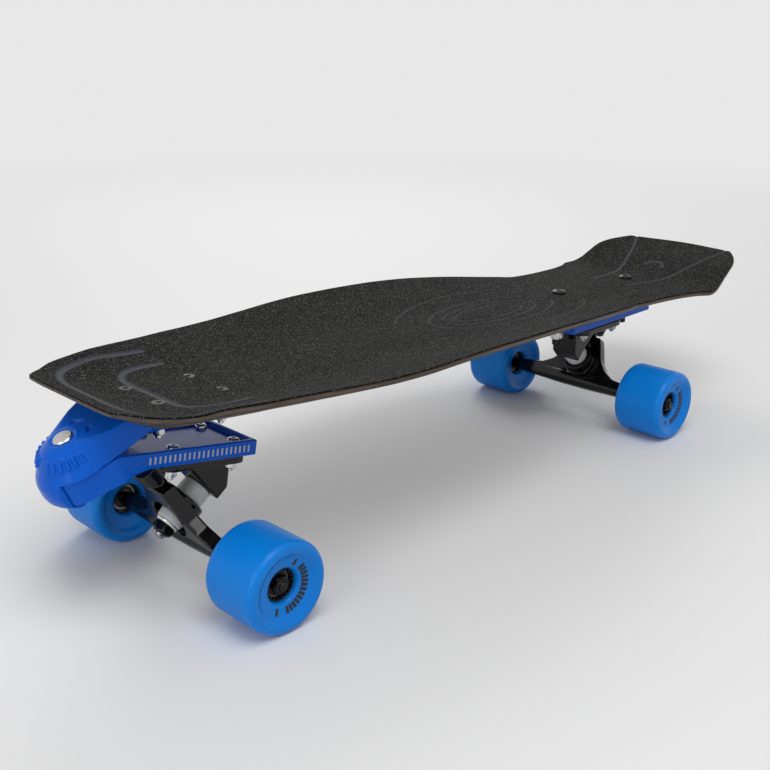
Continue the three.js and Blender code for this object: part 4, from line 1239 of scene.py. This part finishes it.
# %% Adapter body
CLEAR_SIZE, CLEAR_MIDDLE = (84, 120, 90), (8, 0, 45 - 0.02)
LIP_ROOM_SIZE, LIP_ROOM_MIDDLE = (90, 40, 80), (45, 0, -40 + 0.5)
clear = block("clear", CLEAR_SIZE, CLEAR_MIDDLE)
lip_room = block("lip_room", LIP_ROOM_SIZE, LIP_ROOM_MIDDLE)
mesh = cast_from("adapter_body", "adapter_body_casting", blue_casting, PIVOT, voxel=0.7, passes=7,
                 clearing=[clear, lip_room], added=[neck_form, lip_form, boss, *ribs], cut=pockets)
finished("adapter_body_casting", mesh, "board", "blue_paint", "adapter_body", crease=60)

# %% [markdown]
# ## Adapter arm
# The arm is a tray with a rim, and the front truck is bolted under its floor.
# Each side of the rim has a printed line of slanted silver marks in a plain pattern.

# %% Adapter arm
mesh = cast_from("adapter_arm", "adapter_arm_casting", blue_casting, TRUCKS["front"], voxel=0.7, passes=6)
finished("adapter_arm_casting", mesh, "arm", "blue_paint", "adapter_arm", crease=60)

MARK_HEIGHT, MARK_STEP, MARK_COUNT, MARK_SLANT = 5.2, 4.1, 22, 0.35
MARK_START, ARM_HALF, MARK_LEVEL = 5.6 - 33.0, 32.0, 72.3
for side, word in ((1, "left"), (-1, "right")):
    mark = block("mark", (1.5, 0.16, MARK_HEIGHT), (0, 0, 0))
    mark.transform(Matrix.Shear("XZ", 4, (MARK_SLANT, 0)))
    row = repeated(mark, IN_A_ROW, silver_ink, Count=MARK_COUNT, Step=Vector((MARK_STEP, 0, 0)) * MM)
    start = Matrix.Translation(Vector((MARK_START, side * ARM_HALF, MARK_LEVEL)) * MM)
    finished(f"arm_marks_{word}", placed(row, TRUCKS["front"], start), "arm", "steel")

# %% [markdown]
# ## Pivot
# One bolt holds the arm under the body and lets it swing on a bush. Its flat head with a bevelled rim shows
# on top.

# %% Pivot bolt, nut and bush
SWING_GAP, HUB_HEIGHT, PIVOT_FIT, PIVOT_NUT_LENGTH, PIVOT_TAIL = 0.6, 19.4, 0.3, 8, 2
HUB_LOW = -SWING_GAP - HUB_HEIGHT
bolt_low = HUB_LOW - PIVOT_FIT - PIVOT_NUT_LENGTH - PIVOT_TAIL
pin = [(0, bolt_low), (4.4, bolt_low), (5, bolt_low + 0.7), (5, HEAD_TOP + 0.3), (7.2, HEAD_TOP + 0.3),
       (7.2, HEAD_TOP + 0.9), (6.4, HEAD_TOP + 1.8), (0, HEAD_TOP + 1.8)]
mesh = turned("pivot_pin", pin, bright_steel, around=80)
finished("pivot_pin", placed(mesh, PIVOT), "board", "chrome", "pivot_bolt")
nut = nut_profile(5.1, 8.5, HUB_LOW - 8.3, HUB_LOW - PIVOT_FIT)
mesh = turned("pivot_lock_nut", nut, plain_steel, around=72, closed=True)
finished("pivot_lock_nut", placed(mesh, PIVOT), "board", "steel", "pivot_nut")
sleeve = rounded([(5.3, HUB_LOW), (7.5, HUB_LOW), (7.5, -0.9), (5.3, -0.9)], 0.4, closed=True)
mesh = turned("pivot_sleeve", sleeve, plain_steel, around=64, closed=True)
finished("pivot_sleeve", placed(mesh, PIVOT), "board", "steel", "pivot_bush")

# %% [markdown]
# ## Trucks
# The baseplate and the hanger are gloss black castings. Between them sit two pale urethane bushings on the
# kingpin, and the hanger's stem ends in a ball that turns in a rubber cup. All the turned parts share the
# kingpin's axis.

# %% Truck castings
for end, frame_matrix in TRUCKS.items():
    carrier = TRUCK_BODY[end]
    mesh = cast_from(f"{end}_baseplate", f"{end}_base_casting", black_gloss, frame_matrix, voxel=0.8, passes=7)
    finished(f"{end}_base_casting", mesh, carrier, "black_paint", f"{end}_baseplate", crease=60)
    mesh = cast_from(f"{end}_hanger", f"{end}_hanger_casting", black_gloss, frame_matrix, voxel=0.8, passes=14)
    finished(f"{end}_hanger_casting", mesh, f"{end}_steering", "black_paint", f"{end}_hanger", crease=60)

# %% Kingpins, bushings, washers and nuts
RING_CENTRE = Vector((4.5, 0, 22))
STEER = Vector((math.cos(STEER_ANGLE), 0, math.sin(STEER_ANGLE)))
KINGPIN_AXIS = Vector((math.sin(STEER_ANGLE), 0, -math.cos(STEER_ANGLE)))
KINGPIN = place_frame(RING_CENTRE, STEER, KINGPIN_AXIS)
PIVOT_SEAT = place_frame(RING_CENTRE + STEER * 40, -KINGPIN_AXIS, STEER)
RING_HALF, UPPER, LOWER, PLAY, WASHER = 5.5, 13.2, 11.2, 0.3, 2
LOW_END = RING_HALF + PLAY + LOWER
WASHER_END = LOW_END + PLAY + WASHER


def barrel(low, high, radius, waist, end_radius):
    """A bushing's closed profile, fuller at the middle."""
    middle = (low + high) / 2
    outline = [(5.3, low), (end_radius, low), (end_radius + (radius - end_radius) * 0.6, low + 1.2),
               (radius, middle), (waist + (radius - waist) * 0.6, high - 1.2), (waist, high), (5.3, high)]
    return rounded(outline, 1.2, closed=True)


for end, frame_matrix in TRUCKS.items():
    carrier = TRUCK_BODY[end]
    upper_low = -RING_HALF - PLAY - UPPER
    mesh = turned("upper", barrel(upper_low, -RING_HALF - PLAY, 12, 11, 11), pale_bushing, around=72, closed=True)
    finished(f"{end}_upper_cushion", placed(mesh, frame_matrix, KINGPIN), carrier, "rubber", f"{end}_upper_bushing")
    mesh = turned("lower", barrel(RING_HALF + PLAY, LOW_END, 10.8, 9.5, 11), pale_bushing, around=72, closed=True)
    finished(f"{end}_lower_cushion", placed(mesh, frame_matrix, KINGPIN), carrier, "rubber", f"{end}_lower_bushing")
    dish = rounded([(5.3, LOW_END + PLAY), (8.4, LOW_END + PLAY), (9.6, LOW_END - 0.2), (10, LOW_END + 0.5),
                    (9, WASHER_END), (5.3, WASHER_END)], 0.4, closed=True)
    mesh = turned("dish", dish, bright_steel, around=72, closed=True)
    finished(f"{end}_dished_washer", placed(mesh, frame_matrix, KINGPIN), carrier, "chrome", f"{end}_cup_washer")
    nut_low = WASHER_END + PLAY
    nut_top = nut_low + 7.4
    flipped = [(r, nut_low + nut_top - h, *cut) for r, h, *cut in nut_profile(5, 8.7, nut_low, nut_top)]
    mesh = turned("nut", flipped, black_steel, around=72, closed=True)
    finished(f"{end}_kingpin_lock_nut", placed(mesh, frame_matrix, KINGPIN), carrier, "chrome", f"{end}_kingpin_nut")
    pin_top = nut_top + 2.5
    pin = [(0, upper_low - 11.3), (5, upper_low - 11.3), (5, pin_top - 0.8), (4.2, pin_top), (0, pin_top)]
    mesh = turned("pin", pin, plain_steel, around=48)
    finished(f"{end}_kingpin_bolt", placed(mesh, frame_matrix, KINGPIN), carrier, "steel", f"{end}_kingpin")
    cup = [(0, 8.2), (8.2, 8.2), (8.2, -3), (5.8, -3), (5.8, 3.5), (3.5, 5.8), (0, 5.8)]
    mesh = turned("cup", cup, soft_black, around=64)
    finished(f"{end}_rubber_cup", placed(mesh, frame_matrix, PIVOT_SEAT), carrier, "rubber", f"{end}_pivot_cup")

# %% [markdown]
# ## Wheels
# A wheel is a urethane tyre cast round a ribbed plastic core with two bearings.
# The tyre's profile has wide round lips and a face that dips towards the core.
# The core's ribs are copies of one fin on a ring, and so are the marks that are printed on the outer face.

# %% Tyre
WHEEL_RADIUS, WHEEL_HALF, TYRE_FACETS = 35.0, 26.0, 144


def tyre_profile():
    """The tyre's closed profile, from the inner face to the outer one and back along the bore."""
    face = [(12.6, 13.0), (12.65, 16.2), (13.2, 18.2), (14.0, 19.3), (15.2, 19.8), (18.2, 20.4), (21.0, 21.1),
            (23.0, 22.1), (24.8, 23.6), (26.6, 25.0), (28.4, 25.8), (30.0, WHEEL_HALF)]
    turn = np.radians([16, 32, 48, 64, 78, 90])
    lip = [(30.0 + 5.0 * math.sin(a), WHEEL_HALF - 6.4 + 6.4 * math.cos(a)) for a in turn]
    half = face + lip
    tread = [(WHEEL_RADIUS, h) for h in (12, 4, -4, -12)]
    bore = [(12.6, -4), (12.6, 4)]
    return half + tread + [(r, -h) for r, h in reversed(half)] + bore


def build_tyre():
    """A tyre with a UV map that runs round it and along its profile."""
    profile = tyre_profile()
    mesh = turned("tyre", profile, wheel_urethane, around=TYRE_FACETS, closed=True)
    travel = np.concatenate([[0], np.cumsum([math.dist(a, b) for a, b in zip(profile, profile[1:])])])
    layer = mesh.uv_layers.new(name="round_and_along")
    for loop in mesh.loops:
        x, y, _ = mesh.vertices[loop.vertex_index].co
        row = loop.vertex_index // TYRE_FACETS
        layer.data[loop.index].uv = ((math.atan2(y, x) / math.tau) % 1.0, travel[row] / travel[-1])
    tread = [travel[row] / travel[-1] for row, (radius, _) in enumerate(profile) if radius == WHEEL_RADIUS]
    print("tread between", round(tread[0], 3), "and", round(tread[-1], 3))
    return mesh


# %% Core, bearings and axle nut
FIN_COUNT = 18
AXLE_NUT_LOW, AXLE_NUT_HIGH = 12.3, 18.8


def build_core():
    """A core with a stepped rim and a ring of fins on its outer face."""
    outline = [(12.5, -15.8), (12.5, 15.8), (11.9, 16.2), (11.4, 15.8), (11.2, 13.6), (11.2, 4.7), (9, 4.7),
               (9, -4.7), (11.2, -4.7), (11.2, -13.6), (11.4, -15.8), (11.9, -16.2)]
    hub = turned("hub", rounded(outline, 0.35, steps=2, closed=True), core_plastic, around=96, closed=True)
    fin = block("fin", (1.5, 1.1, 3.0), (10.6, 0, 14.0))
    fins = repeated(fin, ON_A_RING, core_plastic, Count=FIN_COUNT, Start=0.0, Step=math.tau / FIN_COUNT)
    return joined("core", hub, fins)


def build_bearing():
    """A sealed bearing: two steel rings with a dark shield set back between them."""
    low, high = 5.0, 12.0
    outline = [(4.3, low), (11, low), (11, high), (9.4, high), (9.2, high - 0.5), (6.4, high - 0.5),
               (6.2, high), (4.3, high)]
    profile = rounded(outline, 0.25, steps=2, closed=True)
    mesh = turned("bearing", profile, plain_steel, soft_black, around=80, closed=True)
    for face in mesh.polygons:
        reach = math.hypot(face.center.x, face.center.y) / MM
        if 6.3 < reach < 9.3 and face.center.z > (high - 1) * MM:
            face.material_index = 1
    return mesh


def build_axle_nut():
    """A lock nut turned round, so that its collar points outwards."""
    rows = nut_profile(4, 7.2, AXLE_NUT_LOW, AXLE_NUT_HIGH)
    outline = [(r, AXLE_NUT_LOW + AXLE_NUT_HIGH - h, *cut) for r, h, *cut in rows]
    return turned("axle_nut", outline, black_steel, around=72, closed=True)


def print_marks():
    """Plain black marks in two groups on the outer face."""
    mark = block("mark", (5.4, 2.3, 0.3), (0, 0, 0))
    mark.transform(Matrix.Translation(Vector((18.6, 0, 20.56)) * MM) @ Matrix.Rotation(-0.215, 4, "Y"))
    near = repeated(mark.copy(), ON_A_RING, print_ink, Count=13, Start=math.radians(96), Step=math.radians(9.8))
    apart = repeated(mark, ON_A_RING, print_ink, Count=2, Start=math.radians(66), Step=math.radians(172))
    return joined("print", near, apart)


# %% Set the four wheels
HALF_TRACK = 97
for end, axle in (("front", FRONT_AXLE), ("rear", REAR_AXLE)):
    for side, sign in (("left", 1), ("right", -1)):
        stem = f"{end}_{side}"
        body = f"{stem}_wheel"
        hub = place_frame((axle.x, sign * HALF_TRACK, axle.z), (sign, 0, 0), (0, sign, 0))
        tyre = placed(build_tyre(), hub)
        finished(f"{stem}_cast_tyre", tyre, body, "urethane", f"{stem}_tyre", crease=40)
        finished(f"{stem}_ribbed_core", placed(build_core(), hub), body, "black_plastic", f"{stem}_core")
        finished(f"{stem}_print", placed(print_marks(), hub), body, "black_plastic")
        outer = build_bearing()
        finished(f"{stem}_outer_race", placed(outer, hub), body, "steel", f"{stem}_outer_bearing")
        inner = build_bearing()
        inner.transform(Matrix.Rotation(math.pi, 4, "X"))
        finished(f"{stem}_inner_race", placed(inner, hub), body, "steel", f"{stem}_inner_bearing")
        nut = placed(build_axle_nut(), hub)
        finished(f"{stem}_lock_nut", nut, f"{end}_steering", "chrome", f"{stem}_axle_nut")

# %% [markdown]
# ## Axles
# An axle is a plain bar with a thread at each end. The thread is a row of small rings, which at this size
# looks the same as a real screw thread and is far simpler to make.

# %% Axles
AXLE_HALF, THREAD_LENGTH, THREAD_PITCH, THREAD_START = 117.6, 9.0, 1.1, 0.6
for end, axle in (("front", FRONT_AXLE), ("rear", REAR_AXLE)):
    plain_half = AXLE_HALF - THREAD_LENGTH
    bar = turned("bar", [(0, -AXLE_HALF), (3.3, -AXLE_HALF), (3.7, -AXLE_HALF + 0.5), (3.7, -plain_half),
                         (4, -plain_half), (4, plain_half), (3.7, plain_half), (3.7, AXLE_HALF - 0.5),
                         (3.3, AXLE_HALF), (0, AXLE_HALF)], black_steel, around=48)
    tooth = turned("tooth", [(3.5, -0.45), (3.98, 0), (3.5, 0.45)], around=48, closed=True)
    count = int((THREAD_LENGTH - 1) / THREAD_PITCH)
    near = repeated(tooth.copy(), IN_A_ROW, black_steel, Count=count, Step=Vector((0, 0, THREAD_PITCH)) * MM)
    near.transform(Matrix.Translation(Vector((0, 0, plain_half + THREAD_START)) * MM))
    away = repeated(tooth, IN_A_ROW, black_steel, Count=count, Step=Vector((0, 0, -THREAD_PITCH)) * MM)
    away.transform(Matrix.Translation(Vector((0, 0, -plain_half - THREAD_START)) * MM))
    mesh = joined(f"{end}_axle_bar", bar, near, away)
    mesh = placed(mesh, place_frame(axle, (1, 0, 0), (0, 1, 0)))
    finished(f"{end}_axle_bar", mesh, f"{end}_steering", "steel", f"{end}_axle")

# %% [markdown]
# ## Floor and light
# The board stands on a plain pale floor that runs out of sight, under one large soft lamp and two weaker
# ones. The world is a soft grey-white that fills the shadows, and the camera sees it as pale as the floor.

# %% Floor
FLOOR_REACH = 30.0
floor_mesh = bpy.data.meshes.new("floor")
corners = [(sx * FLOOR_REACH, sy * FLOOR_REACH, 0) for sx, sy in ((-1, -1), (1, -1), (1, 1), (-1, 1))]
floor_mesh.from_pydata(corners, [], [(0, 1, 2, 3)])
floor_finish, tree, shader = new_finish("pale_floor", (0.78, 0.78, 0.78), 0.7)


def seen_rays(tree):
    """A factor that is one for camera, glossy and transmission rays."""
    path = add_node(tree, "ShaderNodeLightPath")
    first = add_node(tree, "ShaderNodeMath", operation="MAXIMUM")
    both = add_node(tree, "ShaderNodeMath", operation="MAXIMUM")
    tree.links.new(path.outputs["Is Camera Ray"], first.inputs[0])
    tree.links.new(path.outputs["Is Glossy Ray"], first.inputs[1])
    tree.links.new(first.outputs["Value"], both.inputs[0])
    tree.links.new(path.outputs["Is Transmission Ray"], both.inputs[1])
    return both


BACKDROP_LEVEL = 0.8
where = add_node(tree, "ShaderNodeTexCoord")
reach = add_node(tree, "ShaderNodeVectorMath", operation="LENGTH")
fade = add_node(tree, "ShaderNodeMapRange", interpolation_type="SMOOTHSTEP", _From_Min=0.5, _From_Max=2.6)
share = add_node(tree, "ShaderNodeMath", operation="MULTIPLY")
glow = add_node(tree, "ShaderNodeEmission", _Strength=BACKDROP_LEVEL)
blend = add_node(tree, "ShaderNodeMixShader")
tree.links.new(where.outputs["Object"], reach.inputs[0])
tree.links.new(reach.outputs["Value"], fade.inputs["Value"])
tree.links.new(fade.outputs["Result"], share.inputs[0])
tree.links.new(seen_rays(tree).outputs["Value"], share.inputs[1])
tree.links.new(share.outputs["Value"], blend.inputs["Fac"])
tree.links.new(shader.outputs["BSDF"], blend.inputs[1])
tree.links.new(glow.outputs["Emission"], blend.inputs[2])
tree.links.new(blend.outputs["Shader"], tree.nodes["Material Output"].inputs["Surface"])
floor_mesh.materials.append(floor_finish)
floor = bpy.data.objects.new("floor", floor_mesh)
scene.collection.objects.link(floor)

# %% Lamps and world
def soft_lamp(name, place, aim, size, watts):
    """A square area lamp that faces a point."""
    data = bpy.data.lights.new(name, "AREA")
    data.size = size
    data.energy = watts
    lamp = bpy.data.objects.new(name, data)
    scene.collection.objects.link(lamp)
    lamp.location = place
    lamp.rotation_mode = "QUATERNION"
    lamp.rotation_quaternion = (Vector(aim) - Vector(place)).to_track_quat("-Z", "Y")


soft_lamp("key", (0.5, 0.9, 2.0), (0, 0, 0.05), 1.4, 22)
soft_lamp("rim", (-1.2, -1.6, 1.5), (0, 0, 0.08), 1.2, 18)
soft_lamp("nose_fill", (2.0, 0.4, 0.8), (0.2, 0, 0.08), 1.0, 7)

world = bpy.data.worlds.new("studio")
scene.world = world
world.use_nodes = True
sky = world.node_tree
background = sky.nodes["Background"]
strength = add_node(sky, "ShaderNodeMapRange", _To_Min=0.45, _To_Max=BACKDROP_LEVEL)
sky.links.new(seen_rays(sky).outputs["Value"], strength.inputs["Value"])
sky.links.new(strength.outputs["Result"], background.inputs["Strength"])
background.inputs["Color"].default_value = (1, 1, 1, 1)
scene.view_settings.view_transform = "Standard"
